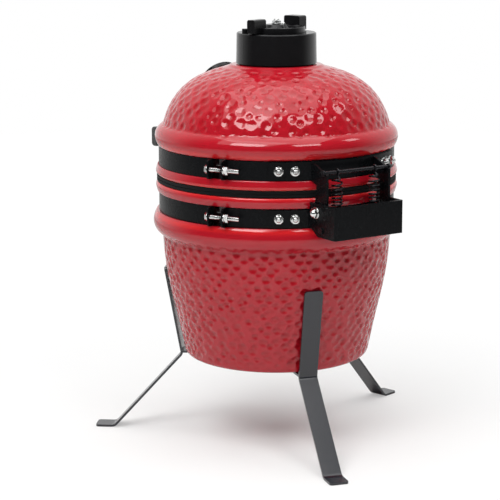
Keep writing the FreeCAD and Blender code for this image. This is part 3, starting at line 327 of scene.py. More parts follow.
def studio_paper():
    """Matt white paper sweep, which fades to plain white from the stand outward."""
    material, tree, shader = patterned(
        "matt_paper", {"Roughness": 0.95, "Specular IOR Level": 0.1, "Emission Color": (1.0, 1.0, 1.0, 1.0)},
        (grain(400.0), linear("E6E6E5"), linear("E2E2E1")))
    place = add(tree, "ShaderNodeTexCoord").outputs["Object"]
    reach = add(tree, "ShaderNodeVectorMath", {"operation": "LENGTH"}, {0: place}).outputs["Value"]
    overlit = add(tree, "ShaderNodeMapRange", {"interpolation_type": "SMOOTHSTEP"}, {
        "Value": reach, "From Min": -0.2, "From Max": 0.8}).outputs["Result"]
    seen = add(tree, "ShaderNodeLightPath").outputs["Is Camera Ray"]
    lit = add(tree, "ShaderNodeMath", {"operation": "MULTIPLY"}, {0: overlit, 1: seen}).outputs["Value"]
    cover(tree, shader, lit, (0.0, 1.0), (0.0, 1.0), (0.0, 0.0, 0.0, 1.0))
    tree.links.new(lit, shader.inputs["Emission Strength"])
    return material


# ---- frame measures ------------------------------------------------------------------------
def limits(node):
    """Lowest and highest corner of a CAD node in millimetres."""
    low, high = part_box(node)
    return np.array(low) / MM, np.array(high) / MM


def middle_of(node):
    """Middle of a CAD node's box in millimetres."""
    low, high = limits(node)
    return (low + high) / 2


def radial(azimuth):
    """Unit vectors outwards and round the turn at an azimuth in radians."""
    return (np.array([math.cos(azimuth), math.sin(azimuth), 0.0]),
            np.array([-math.sin(azimuth), math.cos(azimuth), 0.0]))


def cloud_of(node):
    """Every point of a CAD node in millimetres."""
    mesh = frame["nodes"][node].data
    points = np.empty(len(mesh.vertices) * 3)
    mesh.vertices.foreach_get("co", points)
    return points.reshape(-1, 3) / MM


def standing_round(node, gap_deg=1.2):
    """Azimuths of the solids of a node that stand round the axis, from the gaps between them."""
    points = cloud_of(node)
    azimuth = np.sort(np.degrees(np.arctan2(points[:, 1], points[:, 0])))
    breaks = np.flatnonzero(np.diff(azimuth) > gap_deg)
    starts = azimuth[np.concatenate(([0], breaks + 1))]
    ends = azimuth[np.concatenate((breaks, [len(azimuth) - 1]))]
    return (starts + ends) / 2


def mid_range(values):
    """Halfway between the least and the most."""
    return (values.min() + values.max()) / 2


# ---- curves --------------------------------------------------------------------------------
def unit(vectors):
    """Vectors along the last axis, made one long."""
    return vectors / np.linalg.norm(vectors, axis=-1, keepdims=True)


def lengths_along(line):
    """Distance of each point of a line from its first, along the line."""
    return np.concatenate(([0.0], np.cumsum(np.linalg.norm(np.diff(line, axis=0), axis=1))))


def through(points, count):
    """Smooth curve through a few points: a natural cubic spline by chord length.  The second
    derivatives m solve h0 m0 + 2 (h0 + h1) m1 + h1 m2 = 6 (slope1 - slope0)."""
    points = np.array(points, float)
    knots = lengths_along(points)
    h = np.diff(knots)[:, None]
    slope = np.diff(points, axis=0) / h
    system = np.eye(len(points))
    inner = np.arange(1, len(points) - 1)
    system[inner, inner - 1] = h[:-1, 0]
    system[inner, inner] = 2 * (h[:-1, 0] + h[1:, 0])
    system[inner, inner + 1] = h[1:, 0]
    right = np.zeros_like(points)
    right[1:-1] = 6 * np.diff(slope, axis=0)
    m = np.linalg.solve(system, right)
    t = np.linspace(0.0, knots[-1], count)
    k = np.clip(np.searchsorted(knots, t, side="right") - 1, 0, len(points) - 2)
    a = (knots[k + 1] - t)[:, None]
    b = (t - knots[k])[:, None]
    return (m[k] * a ** 3 + m[k + 1] * b ** 3) / (6 * h[k]) + (points[k] / h[k] - m[k] * h[k] / 6) * a \
        + (points[k + 1] / h[k] - m[k + 1] * h[k] / 6) * b


def bow(first, middle, last, count):
    """Arc through three points, drawn as the parabola with the same sagitta."""
    t = np.linspace(0.0, 1.0, count)[:, None]
    first, middle, last = (np.array(p, float) for p in (first, middle, last))
    along = middle - first
    chord = last - first
    share = float(along @ chord / (chord @ chord))
    control = (middle - (1 - share) ** 2 * first - share ** 2 * last) / (2 * share * (1 - share))
    return (1 - t) ** 2 * first + 2 * t * (1 - t) * control + t ** 2 * last


def softened(corners, radii, steps=5):
    """Polyline whose corners are rounded: each is a quadratic curve from one side to the next,
    as far from the corner as its radius."""
    corners = [np.array(c, float) for c in corners]
    t = np.linspace(0.0, 1.0, steps)[:, None]
    runs = [corners[0][None]]
    for before, corner, after, radius in zip(corners, corners[1:], corners[2:], radii):
        back = before - corner
        on = after - corner
        reach = min(radius, 0.48 * np.linalg.norm(back), 0.48 * np.linalg.norm(on))
        a = corner + unit(back) * reach
        b = corner + unit(on) * reach
        runs.append((1 - t) ** 2 * a + 2 * t * (1 - t) * corner + t ** 2 * b)
    runs.append(corners[-1][None])
    return np.concatenate(runs)


def evenly(line, spacing):
    """The same line with points at about one spacing."""
    length = lengths_along(line)
    t = np.linspace(0.0, length[-1], max(2, round(length[-1] / spacing) + 1))
    return np.stack([np.interp(t, length, line[:, i]) for i in range(line.shape[1])], 1)


# ---- grids ---------------------------------------------------------------------------------
NO_FACES = np.empty((0, 3), int)


def turned(columns):
    """Angles of a grid's columns, even round the turn."""
    return np.arange(columns) * FULL_TURN / columns


def ringed(radius, angle, height):
    """Points of a grid from their radius, angle and height."""
    height = np.broadcast_to(height, radius.shape)
    return np.stack([radius * np.cos(angle), radius * np.sin(angle), height], -1)


def grid_faces(rows, columns, closed=False):
    """Quads of a grid whose columns meet round the turn, and whose rows meet too if closed."""
    row = np.arange(rows if closed else rows - 1)[:, None]
    column = np.arange(columns)[None, :]
    above = (row + 1) % rows
    beside = (column + 1) % columns
    corners = (row * columns + column, row * columns + beside,
               above * columns + beside, above * columns + column)
    return np.stack(np.broadcast_arrays(*corners), -1).reshape(-1, 4)


def fan(columns, row_start, pole, upwards):
    """Triangles from one row of a grid to a pole."""
    a = row_start + np.arange(columns)
    b = row_start + (np.arange(columns) + 1) % columns
    tip = np.full(columns, pole)
    return np.stack([a, b, tip] if upwards else [b, a, tip], 1)


def capped(points, rows, columns, tips):
    """A grid whose first and last row are closed by fans to two poles."""
    count = rows * columns
    tris = np.concatenate([fan(columns, 0, count, False), fan(columns, count - columns, count + 1, True)])
    return np.concatenate([points, tips]), grid_faces(rows, columns), tris


def revolve(outline, columns, closed=False, limit=None):
    """Turn an outline of (radius, height) about Z: the point at row i and angle t is
    (r_i cos t, r_i sin t, z_i).  An open outline that starts and ends on the axis gets poles.
    Where limit is given, no point at angle t is further out than limit(t)."""
    outline = np.array(outline, float)
    rows = outline if closed else outline[1:-1]
    angle = turned(columns)
    radius = np.repeat(rows[:, :1], columns, 1)
    if limit is not None:
        radius = np.minimum(radius, limit(angle)[None, :])
    points = ringed(radius, angle, rows[:, 1:]).reshape(-1, 3)
    if closed:
        return points, grid_faces(len(rows), columns, True), NO_FACES
    return capped(points, len(rows), columns, [(0.0, 0.0, outline[0, 1]), (0.0, 0.0, outline[-1, 1])])


def sweep(path, radius, sides, toward):
    """Round bar along a path: at each point a ring of the radius in the plane across the path,
    measured from the direction `toward` made square to it.  Both ends get a pole."""
    along = unit(np.gradient(path, axis=0))
    across = unit(toward - (toward * along).sum(1)[:, None] * along)
    third = np.cross(along, across)
    angle = turned(sides)[None, :, None]
    ring = across[:, None] * np.cos(angle) + third[:, None] * np.sin(angle)
    points = (path[:, None] + ring * radius).reshape(-1, 3)
    return capped(points, len(path), sides, path[[0, -1]])


def merged(shapes):
    """Several shapes as one."""
    starts = np.cumsum([0] + [len(s[0]) for s in shapes[:-1]])
    return (np.concatenate([s[0] for s in shapes]),
            np.concatenate([s[1] + n for s, n in zip(shapes, starts)]),
            np.concatenate([s[2] + n for s, n in zip(shapes, starts)]))


def standing(shape, origin, axis):
    """Move a shape built on +Z at the origin onto an axis."""
    axis = unit(np.array(axis, float))
    helper = (0.0, 0.0, 1.0) if abs(axis[2]) < 0.9 else (1.0, 0.0, 0.0)
    side = unit(np.cross(helper, axis))
    turn = np.stack([side, np.cross(axis, side), axis], 1)
    return shape[0] @ turn.T + np.array(origin, float), shape[1], shape[2]


# ---- pieces --------------------------------------------------------------------------------
def put(name, shape, materials, body, replaced=(), sharp_deg=38.0):
    """Make a piece from a shape in millimetres, let it ride on a body and stand for CAD nodes."""
    points, quads, tris = shape
    mesh = bpy.data.meshes.new(name)
    mesh.from_pydata((points * MM).tolist(), [], quads.tolist() + tris.tolist())
    for material in materials:
        mesh.materials.append(material)
    mesh.shade_smooth()
    mesh.set_sharp_from_angle(angle=math.radians(sharp_deg))
    piece = bpy.data.objects.new(name, mesh)
    bpy.context.scene.collection.objects.link(piece)
    if body:
        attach(piece, body)
    if replaced:
        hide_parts(*replaced)
    return piece


def paint(material, *nodes):
    """Give CAD nodes a material."""
    for name in nodes:
        mesh = frame["nodes"][name].data
        mesh.materials.clear()
        mesh.materials.append(material)


# ---- glazed shells -------------------------------------------------------------------------
def smooth_step(value, low, high):
    t = np.clip((value - low) / (high - low), 0.0, 1.0)
    return t * t * (3 - 2 * t)


def pitted(radius, length, angle, pits, seed):
    """How far the glaze lies below its skin, in millimetres, on a grid of rows and angles.

    Pits stand in staggered rings half a pitch apart.  Ring k holds about as many as fit at its
    radius, in sixes, so that neighbouring rings keep the same count and interlock; each pit is
    pushed off its place by a random share of the pitch.  A pit of radius a lowers the skin by
    h (1 - (d/a)^2)^1.2 at distance d, with d measured so that the pit is wider than high by the
    stretch; where pits meet the deeper one wins, which leaves a crisp ridge."""
    rng = np.random.default_rng(seed)
    ring_step = pits.pitch / 2
    rings = int(length[-1] / ring_step) + 2
    ring_radius = np.interp(np.arange(rings) * ring_step, length, radius)
    counts = 6 * np.maximum(1, np.round(FULL_TURN * ring_radius / pits.pitch / 6)).astype(int)
    most = counts.max()
    phase = np.arange(rings) % 2 * 0.5
    shift_round = rng.uniform(-0.23, 0.23, (rings, most))
    shift_along = rng.uniform(-0.13, 0.13, (rings, most)) * pits.pitch
    size = rng.uniform(pits.smallest, pits.largest, (rings, most)) / 2
    depth = rng.uniform(0.5, 1.0, (rings, most)) * pits.depth
    lowered = np.zeros((len(radius), len(angle)))
    nearest = np.round(length / ring_step).astype(int)
    for ring_offset in (-1, 0, 1):
        ring = np.clip(nearest + ring_offset, 0, rings - 1)[:, None]
        per_turn = counts[ring]
        slot_here = np.round(angle[None, :] / FULL_TURN * per_turn - phase[ring])
        for slot_offset in (-1, 0, 1):
            spot = slot_here + slot_offset
            which = np.mod(spot, per_turn).astype(int)
            centre = (spot + phase[ring] + shift_round[ring, which]) * FULL_TURN / per_turn
            round_gap = radius[:, None] * (angle[None, :] - centre) / pits.stretch
            along_gap = length[:, None] - ring * ring_step - shift_along[ring, which]
            near = 1 - (round_gap ** 2 + along_gap ** 2) / size[ring, which] ** 2
            lowered = np.maximum(lowered, depth[ring, which] * np.clip(near, 0, 1) ** 1.2)
    return lowered


def ripple(length, angle, seed):
    """Slow unevenness of a hand-dipped body, in millimetres: waves of whole numbers round the
    turn, so that they meet, and of random phase."""
    rng = np.random.default_rng(seed)
    total = np.zeros((len(length), len(angle)))
    for around, along in ((5, 90.0), (9, 70.0), (14, 55.0), (23, 40.0), (31, 30.0)):
        start = rng.uniform(0.0, FULL_TURN, 2)
        total += np.sin(around * angle[None, :] + start[0] + 1.7 * np.sin(length[:, None] / along + start[1]))
    return total * 0.05


def shell(rows, pit_from, pit_to, fade, pits, seed, closed):
    """A revolved ceramic wall whose rows from pit_from to pit_to are pitted inwards.  Returns
    the shape and how thick the glaze is at each point, from 0, thin, to 1, pooled."""
    columns = SHELL_COLUMNS
    angle = turned(columns)
    points, quads, tris = revolve(rows, columns, closed)
    first = 0 if closed else 1
    span = slice(pit_from - first, pit_to - first)
    line = rows[pit_from:pit_to]
    length = lengths_along(line)
    edge = smooth_step(length, 0.0, fade[0]) * smooth_step(length[-1] - length, 0.0, fade[1])
    lowered = pitted(line[:, 0], length, angle, pits, seed) * edge[:, None]
    inward = lowered + (0.25 + ripple(length, angle, seed + 1)) * edge[:, None]
    along = unit(np.gradient(line, axis=0))
    normal = np.stack([along[:, 1], -along[:, 0]], 1)
    radius = line[:, :1] - inward * normal[:, :1]
    height = line[:, 1:] - inward * normal[:, 1:]
    on_rows = (len(rows) - 2 * first) * columns
    points[:on_rows].reshape(-1, columns, 3)[span] = ringed(radius, angle, height)
    thickness = np.full(len(points), USUAL_DEPTH)
    thickness[:on_rows].reshape(-1, columns)[span] += (1 - USUAL_DEPTH) * lowered / pits.depth
    return (points, quads, tris), thickness


def band_groove(low, high, inner, outer_low, outer_high):
    """Corners of the groove that a band lies in."""
    return [(outer_low, low), (inner, low), (inner, high), (outer_high, high)]


def base_rows():
    """Outline of the base from the middle of its underside, up the outside, over the rim and
    down the inside, with the first and last pitted row and the rows of the draft opening."""
    low, high = limits("base_shell")
    band_low, band_high = limits("lower_band")
    groove = (band_low[2] - BAND_PLAY, band_high[2] + BAND_PLAY)
    under = np.array([(0.0, low[2]), (70.0, low[2]), (FLOOR_R - 6.0, low[2])])
    corner = bow((FLOOR_R, low[2]), (FLOOR_R + 7.8, low[2] + 3.2), FLANK_FOOT, 6)
    flank = through(FLANK, 600)
    below = np.linspace(FLANK_FOOT[1], WINDOW_Z[0], round((WINDOW_Z[0] - FLANK_FOOT[1]) / PIT_STEP) + 1)[1:]
    window = np.linspace(*WINDOW_Z, round((WINDOW_Z[1] - WINDOW_Z[0]) / PIT_STEP) + 1)[1:]
    above = np.linspace(WINDOW_Z[1], FLANK[-1][1], round((FLANK[-1][1] - WINDOW_Z[1]) / PIT_STEP) + 1)[1:]
    heights = np.concatenate([below, window, above])
    side = np.stack([np.interp(heights, flank[:, 1], flank[:, 0]), heights], 1)
    bulge = bow(FLANK[-1], BASE_BULGE, (BASE_BULGE_TOP_R, groove[0] - 0.6), 16)[1:]
    lip = softened(
        [tuple(bulge[-1])] + band_groove(*groove, BAND_SEAT_R, BASE_BULGE_TOP_R - 0.6, RIM_R - 2.2)
        + [(RIM_R + 0.2, (groove[1] + high[2]) / 2 + 2.0), (RIM_R - 1.6, high[2]),
           (RIM_R - WALL - 1.6, high[2]), (RIM_R - WALL - 2.2, high[2] - 12.0)],
        (0.5, GROOVE_SOFT, GROOVE_SOFT, 1.2, 5.0, LIP_SOFT, LIP_SOFT), 5)[1:]
    inner_r = np.interp(window, flank[:, 1], flank[:, 0]) - WALL
    inside = np.concatenate([
        np.array([(RIM_R - WALL - 7.0, 300.0), (136.4, 276.0), (134.6, 252.0), (129.4, 214.0)]),
        np.stack([inner_r, window], 1)[::-1],
        np.array([(inner_r[0] - 0.6, WINDOW_Z[0]), (112.0, low[2] + INNER_FLOOR + 6.0),
                  (104.0, low[2] + INNER_FLOOR), (60.0, low[2] + INNER_FLOOR), (0.0, low[2] + INNER_FLOOR)])])
    rows = np.concatenate([under, corner, side, bulge, lip, inside])
    pit_from = len(under) + 3
    flank_start = len(under) + len(corner)
    pit_to = flank_start + len(side) + 4
    outer_window = flank_start + len(below) - 1
    inner_window = len(rows) - 5 - len(window)
    glazed_to = flank_start + len(side) + len(bulge) + len(lip) - 2
    return rows, (pit_from, pit_to), (outer_window, inner_window, len(window)), glazed_to


def cut_window(shape, outer_row, inner_row, count, middle_deg, half_deg):
    """Open a four-sided hole through a shell between two stretches of rows and two columns,
    and join its outer and inner edges with jambs."""
    points, quads, tris = shape
    columns = SHELL_COLUMNS
    first = round((middle_deg - half_deg) / 360 * columns)
    last = round((middle_deg + half_deg) / 360 * columns)
    column = np.arange(first, last + 1) % columns
    row_of = quads[:, 0] // columns
    in_columns = np.isin(quads[:, 0] % columns, column[:-1])
    in_outer = (row_of >= outer_row) & (row_of < outer_row + count)
    in_inner = (row_of >= inner_row) & (row_of < inner_row + count)
    kept = quads[~(in_columns & (in_outer | in_inner))]
    step = np.arange(count + 1)
    out_rows = (outer_row + step) * columns
    in_rows = (inner_row + count - step) * columns
    left = np.stack([out_rows[:-1] + column[0], in_rows[:-1] + column[0],
                     in_rows[1:] + column[0], out_rows[1:] + column[0]], 1)
    right = np.stack([out_rows[:-1] + column[-1], out_rows[1:] + column[-1],
                      in_rows[1:] + column[-1], in_rows[:-1] + column[-1]], 1)
    sill = np.stack([out_rows[0] + column[1:], in_rows[0] + column[1:],
                     in_rows[0] + column[:-1], out_rows[0] + column[:-1]], 1)
    head = np.stack([out_rows[-1] + column[:-1], in_rows[-1] + column[:-1],
                     in_rows[-1] + column[1:], out_rows[-1] + column[1:]], 1)
    return (points, np.concatenate([kept, left, right, sill, head]), tris)


def lid_rows():
    """Closed outline of the lid: out under its rim, up over the band's groove, the bulge and
    the dome to the neck, and down through the flue and the inside.  With it the ends of its
    pitted rows and of its glazed ones."""
    low, high = limits("lid_shell")
    band_low, band_high = limits("upper_band")
    groove = (band_low[2] - BAND_PLAY, band_high[2] + BAND_PLAY)
    lip = softened(
        [(RIM_R - WALL - 1.6, low[2] + 6.0), (RIM_R - WALL - 1.6, low[2]), (RIM_R - 1.6, low[2]),
         (RIM_R + 0.2, (groove[0] + low[2]) / 2 - 2.0)]
        + band_groove(*groove, BAND_SEAT_R, RIM_R - 2.2, LID_BULGE_FOOT_R - 0.6)
        + [(LID_BULGE_FOOT_R + 1.2, groove[1] + 1.4)],
        (LIP_SOFT, LIP_SOFT, 5.0, 1.2, GROOVE_SOFT, GROOVE_SOFT, 0.6), 5)[:-1]
    bulge = bow((LID_BULGE_FOOT_R + 0.6, groove[1] + 0.8), LID_BULGE, DOME[0], 20)
    dome = evenly(through(DOME, 600), PIT_STEP)[1:]
    neck = softened([tuple(dome[-1]), (NECK_R, high[2]), (FLUE_R, high[2]), (FLUE_R, FLUE_FOOT_Z)],
                    (2.0, 1.5), 6)[1:]
    inner = np.array([(x - 0.45 * WALL - 4.0, z - 0.86 * WALL) for x, z in DOME[1:-1]])[::-1]
    inside = np.concatenate([inner, [(DOME[0][0] - WALL - 1.0, DOME[0][1] - 6.0),
                                     (RIM_R - WALL - 3.0, low[2] + 24.0)]])
    rows = np.concatenate([lip, bulge, dome, neck, inside])
    pit_from = len(lip) + len(bulge) - 3
    pit_to = len(lip) + len(bulge) + len(dome) - 4
    glazed = (8, pit_to + 11)
    return rows, (pit_from, pit_to), glazed


def thin_at(rows, heights, grid, reach=3.0):
    """Let the glaze run thin within a few millimetres of these crests."""
    near = np.exp(-((rows[:, 1:] - np.array(heights)) / reach) ** 2).max(1)
    outer = rows[:, 0] > BAND_SEAT_R + 1.0
    grid -= (USUAL_DEPTH * near * outer)[:, None]


def tape_seat(rows, band, grid):
    """Paint the seat of a band near black: painted shade, which shows in the band's mouth."""
    low, high = limits(band)
    row_r, row_z = rows.T
    seat = (np.abs(row_r - BAND_SEAT_R) < 0.9) & (row_z > low[2] - 1.0) & (row_z < high[2] + 1.0)
    # Painted shade: the seat gets the near-black glaze depth.
    grid[seat] = SHADED_SEAT_DEPTH


def put_shell(name, shape, thickness, slots, body, node, colours):
    """Make a shell with glaze outside and bare stoneware inside."""
    piece = put(name, shape, [red_glaze(colours), bare_stoneware()], body, (node,), 60.0)
    piece.data.polygons.foreach_set("material_index", slots)
    attribute = piece.data.attributes.new("glaze_depth_and_seat_shade", "FLOAT", "POINT")
    attribute.data.foreach_set("value", thickness.astype(np.float32))
    return piece


def build_base(settings):
    rows, pits, window, glazed_to = base_rows()
    shape, thickness = shell(rows, *pits, fade=(5.0, 5.0), pits=settings.base_pits, seed=11, closed=False)
    wall = rows[1:-1]
    grid = thickness[:len(wall) * SHELL_COLUMNS].reshape(-1, SHELL_COLUMNS)
    rim_z = limits("base_shell")[1][2]
    thin_at(wall, (rim_z - 1.0, BASE_BULGE[1] + 8.0), grid)
    # Painted shade in the lower band's seat.
    tape_seat(wall, "lower_band", grid)
    outer_row, inner_row, count = window
    shape = cut_window(shape, outer_row - 1, inner_row - 1, count, WINDOW_AT_DEG, WINDOW_DEG)
    row_of = shape[1][:, 0] // SHELL_COLUMNS
    jambs = 2 * count + 2 * (round((WINDOW_AT_DEG + WINDOW_DEG) / 360 * SHELL_COLUMNS)
                             - round((WINDOW_AT_DEG - WINDOW_DEG) / 360 * SHELL_COLUMNS))
    bare = (row_of >= glazed_to - 1) | (np.arange(len(row_of)) >= len(row_of) - jambs)
    slots = np.concatenate([bare, np.repeat([False, True], SHELL_COLUMNS)]).astype(np.int32)
    return put_shell("glazed_base", shape, thickness, slots, "base", "base_shell", settings.colours)


def build_lid(settings):
    rows, pits, glazed = lid_rows()
    shape, thickness = shell(rows, *pits, fade=(4.0, 5.0), pits=settings.lid_pits, seed=23, closed=True)
    grid = thickness.reshape(-1, SHELL_COLUMNS)
    rim_z = limits("lid_shell")[0][2]
    thin_at(rows, (rim_z + 1.0, LID_BULGE[1] - 8.0), grid)
    # Painted shade in the upper band's seat.
    tape_seat(rows, "upper_band", grid)
    row_of = shape[1][:, 0] // SHELL_COLUMNS
    bare = (row_of >= glazed[1]) | (row_of < glazed[0])
    slots = bare.astype(np.int32)
    return put_shell("glazed_lid", shape, thickness, slots, "lid", "lid_shell", settings.colours)


def felt_ring(node):
    """A gasket: the node's own ring with its edges pressed round."""
    points = cloud_of(node)
    radius = np.hypot(points[:, 0], points[:, 1])
    r0, r1 = radius.min(), radius.max()
    z0, z1 = points[:, 2].min(), points[:, 2].max()
    middle = (r0 + r1) / 2
    corners = [(middle, z0), (r1, z0), (r1, z1), (r0, z1), (r0, z0), (middle, z0)]
    outline = softened(corners, (GASKET_SOFT,) * 4, 5)[:-1]
    return revolve(outline, 360, closed=True)


# ---- fasteners -----------------------------------------------------------------------------
def hex_limit(across):
    """Distance from the axis to the flats of a hexagon at each angle: half the width across
    flats over the cosine of the angle from the nearest flat's middle."""
    return lambda angle: across / 2 / np.cos(np.mod(angle, math.pi / 3) - math.pi / 6)


def hex_cone(across, height):
    """The cone turned on a hexagon's corners at its top, from the corners up to the face."""
    corner = across / math.sqrt(3)
    face = across * 0.47
    chamfer = (corner - face) * 0.55
    return np.stack([np.linspace(corner, face, 6), np.linspace(height - chamfer, height, 6)], 1)


def nut(across, height, bore):
    """Hexagon nut with its corners turned to a cone on both faces."""
    up = hex_cone(across, height)
    down = up[::-1] * (1.0, -1.0) + (0.0, height)
    mouth = [(bore + 0.5, height), (bore, height - 0.5), (bore, 0.5), (bore + 0.5, 0.0)]
    return revolve(np.concatenate([down, up, mouth]), 72, closed=True, limit=hex_limit(across))


def bolt_head(across, height):
    """Hexagon head: flat underneath, its top corners turned to a cone."""
    foot = [(0.0, 0.0), (across / math.sqrt(3), 0.0)]
    outline = np.concatenate([foot, hex_cone(across, height), [(0.0, height)]])
    return revolve(outline, 72, limit=hex_limit(across))


def washer(outer, bore, thick):
    """Flat washer with its stamped edges just rounded."""
    middle = (outer + bore) / 2
    corners = [(middle, 0.0), (outer, 0.0), (outer, thick), (bore, thick), (bore, 0.0), (middle, 0.0)]
    return revolve(softened(corners, (0.4,) * 4, 4)[:-1], 64, closed=True)


def thread(radius, length, pitch):
    """Threaded rod on +Z: its radius falls by 0.54 of the pitch from crest to root, as the
    triangle wave of height over pitch less turns, and both ends are turned to a cone."""
    columns = 32
    rows = int(length / pitch * 7)
    angle = turned(columns)
    height = np.linspace(0.0, length, rows)[:, None]
    wave = np.abs(np.mod(height / pitch - angle / FULL_TURN, 1.0) * 2 - 1)
    end = np.minimum(height, length - height)
    points = ringed(np.minimum(radius - 0.54 * pitch * (1 - wave), radius - 0.8 + end), angle, height)
    return capped(points.reshape(-1, 3), rows, columns, [(0.0, 0.0, 0.0), (0.0, 0.0, length)])


def raised(shape, height):
    """A shape moved up its own axis."""
    return shape[0] + np.array([0.0, 0.0, height]), shape[1], shape[2]


def pan_head(radius, height):
    """Pan screw head with a cross recess: the height falls as a rounded cap, less a recess
    where the point lies within either bar of the cross."""
    columns = 64
    share = np.concatenate([np.linspace(0.0, 0.92, 20), np.linspace(0.94, 1.0, 4)])[::-1]
    angle = turned(columns)
    x = share[:, None] * radius * np.cos(angle)
    y = share[:, None] * radius * np.sin(angle)
    cap = height * np.sqrt(np.clip(1 - share ** 4, 0.0, 1.0))[:, None]
    half_bar, bar_end, recess = radius * 0.13, radius * 0.55, height * 0.45
    bar_x = (np.abs(x) < half_bar) & (np.abs(y) < bar_end)
    bar_y = (np.abs(y) < half_bar) & (np.abs(x) < bar_end)
    z = np.where(bar_x | bar_y, np.minimum(cap, recess), cap)
    points = np.stack([x, y, z], -1)[:-1].reshape(-1, 3)
    return capped(points, len(share) - 1, columns, [(0.0, 0.0, 0.0), (0.0, 0.0, recess)])


def washered_nut(height):
    """M6 nut on its washer, standing on Z."""
    return merged([washer(M6_WASHER_R, M6_RADIUS + 0.2, WASHER_T),
                   raised(nut(M6_ACROSS, height, M6_RADIUS + 0.06), WASHER_T)])


def clamp_sets(level):
    """Bolt and nut of one band's clamp, in place."""
    bolt_points = cloud_of(level + "_band_bolt")
    out, along = radial(math.radians(CLAMP_DEG))
    reach = bolt_points @ out
    centre = out * mid_range(reach)
    centre[2] = mid_range(bolt_points[:, 2])
    end = (bolt_points @ along).max()
    seat = CLAMP_EAR_FACE + SEAT_GAP
    head = standing(bolt_head(M6_ACROSS, CLAMP_HEAD_H), (0.0, 0.0, -seat - WASHER_T), (0.0, 0.0, -1.0))
    bolt = merged([raised(thread(M6_RADIUS, end + seat, 1.0), -seat),
                   raised(washer(M6_WASHER_R, M6_RADIUS + 0.1, WASHER_T), -seat - WASHER_T), head])
    return standing(bolt, centre, along), standing(raised(washered_nut(CLAMP_NUT_H), seat), centre, along)


def bracket_sets(level):
    """Bolts and nuts that join a bracket's flanges to its band, in place round the axis."""
    node = level + "_bracket_nuts"
    points = cloud_of(node)
    z = mid_range(points[:, 2])
    ends = cloud_of(level + "_bracket_bolts")
    start = BAND_SEAT_R + SEAT_GAP
    bolts, nuts = [], []
    for azimuth in np.radians(standing_round(node)):
        out, along = radial(azimuth)
        near = np.abs(points @ along) < 8.0
        face = (points[near] @ out).min()
        tip = (ends @ out).max()
        bolts.append(standing(thread(M6_RADIUS, tip - start, 1.0), out * start + (0, 0, z), out))
        nuts.append(standing(washered_nut(FLANGE_NUT_H), out * face + (0, 0, z), out))
    return merged(bolts), merged(nuts)


def domed(radius, flat, rise, foot, steps):
    """Outline of a round cap on Z: straight from its foot up to flat, then an elliptic dome."""
    bend = np.linspace(0.0, math.pi / 2, steps)
    dome = np.stack([radius * np.cos(bend), flat + rise * np.sin(bend)], 1)
    return np.concatenate([[(0.0, foot), (radius, foot)], dome[:-1], [(0.0, flat + rise)]])


def pivot_set():
    """The hinge's two shouldered bolts, each with its washer and acorn cap outside."""
    y, z = middle_of("hinge_pivot_bolts")[1:]
    cap = revolve(domed(5.3, 3.4, 5.3, 1.0, 9), 48)
    shank = revolve([(0.0, -13.0), (3.4, -13.0), (4.0, -12.4), (4.0, 0.6), (0.0, 0.6)], 40)
    outside = merged([washer(7.5, 4.1, WASHER_T), raised(bolt_head(11.5, 3.8), WASHER_T), cap, shank])
    face = HINGE_HALF + SEAT_GAP
    return merged([standing(outside, (side * face, y, z), (side, 0.0, 0.0)) for side in (1, -1)])


# ---- springs -------------------------------------------------------------------------------
def hooked_spring(x, turns):
    """Tension spring between its two bars: a helix of the wire, whose ends rise to the middle
    and close round a bar in a hook of three quarters of a turn."""
    y, z_low = middle_of("anchor_bar")[1:]
    z_high = middle_of("spring_bar")[2]
    z_mid = (z_high + z_low) / 2
    near, far = limits("spring_left")
    coil_r = (far[1] - near[1] - SPRING_WIRE) / 2
    start = z_low + SPRING_HOOK_R + SPRING_RISE
    end = z_high - SPRING_HOOK_R - SPRING_RISE
    t = np.linspace(0.0, 1.0, turns * 40)
    swing = math.pi / 2 + t * turns * FULL_TURN
    closeness = t + 0.035 * np.sin(FULL_TURN * t)
    coil = np.stack([x + coil_r * np.cos(swing), y + coil_r * np.sin(swing),
                     start + (end - start) * closeness], 1)
    bend = np.linspace(-math.pi / 2, math.pi * 1.15, 40)
    hook = np.stack([np.full(40, x), y + SPRING_HOOK_R * np.cos(bend),
                     z_high + SPRING_HOOK_R * np.sin(bend)], 1)
    lean = smooth_step(np.linspace(0.0, 1.0, 12)[1:-1, None], 0.0, 1.0)
    top_half = np.concatenate([coil[-1] * (1 - lean) + hook[0] * lean, hook])
    low_half = (top_half - (0, 0, z_mid)) * (1.0, 1.0, -1.0) + (0, 0, z_mid)
    path = np.concatenate([low_half[::-1], coil, top_half])
    weight = smooth_step(np.abs(path[:, 2] - z_mid), (end - start) / 2, (end - start) / 2 + 2.0)
    toward = np.stack([weight, np.zeros_like(weight), 1 - weight + 0.02], 1)
    return sweep(path, SPRING_WIRE / 2, 12, toward), (y, z_low), (y, z_high)


# ---- the thermometer's face ----------------------------------------------------------------
def dial_marks():
    """Scale ticks as flat strips on Z, clockwise over the pointer's sweep."""
    marks = []
    for i, turn in enumerate(np.linspace(0.0, SCALE_SWEEP_DEG, 8 * (SCALE_NUMBERS - 1) // 2 + 1)):
        bearing = math.radians(SCALE_START_DEG + turn)
        length, half = (3.8, 0.42) if i % 4 == 0 else (1.6, 0.22)
        outer = DIAL_R - 1.4
        inner = outer - length
        out = np.array([math.sin(bearing), math.cos(bearing), 0.0])
        side = np.array([out[1], -out[0], 0.0]) * half
        corners = np.array([out * inner - side, out * outer - side, out * outer + side, out * inner + side])
        marks.append((corners, np.array([[0, 3, 2, 1]]), NO_FACES))
    return merged(marks)


def numeral(text, size):
    """Digits as a flat mesh, centred on the origin."""
    curve = bpy.data.curves.new("numeral", "FONT")
    curve.body = text
    curve.size = size
    curve.align_x = "CENTER"
    curve.align_y = "CENTER"
    holder = bpy.data.objects.new("numeral", curve)
    mesh = bpy.data.meshes.new_from_object(holder)
    bpy.data.objects.remove(holder)
    bpy.data.curves.remove(curve)
    return mesh


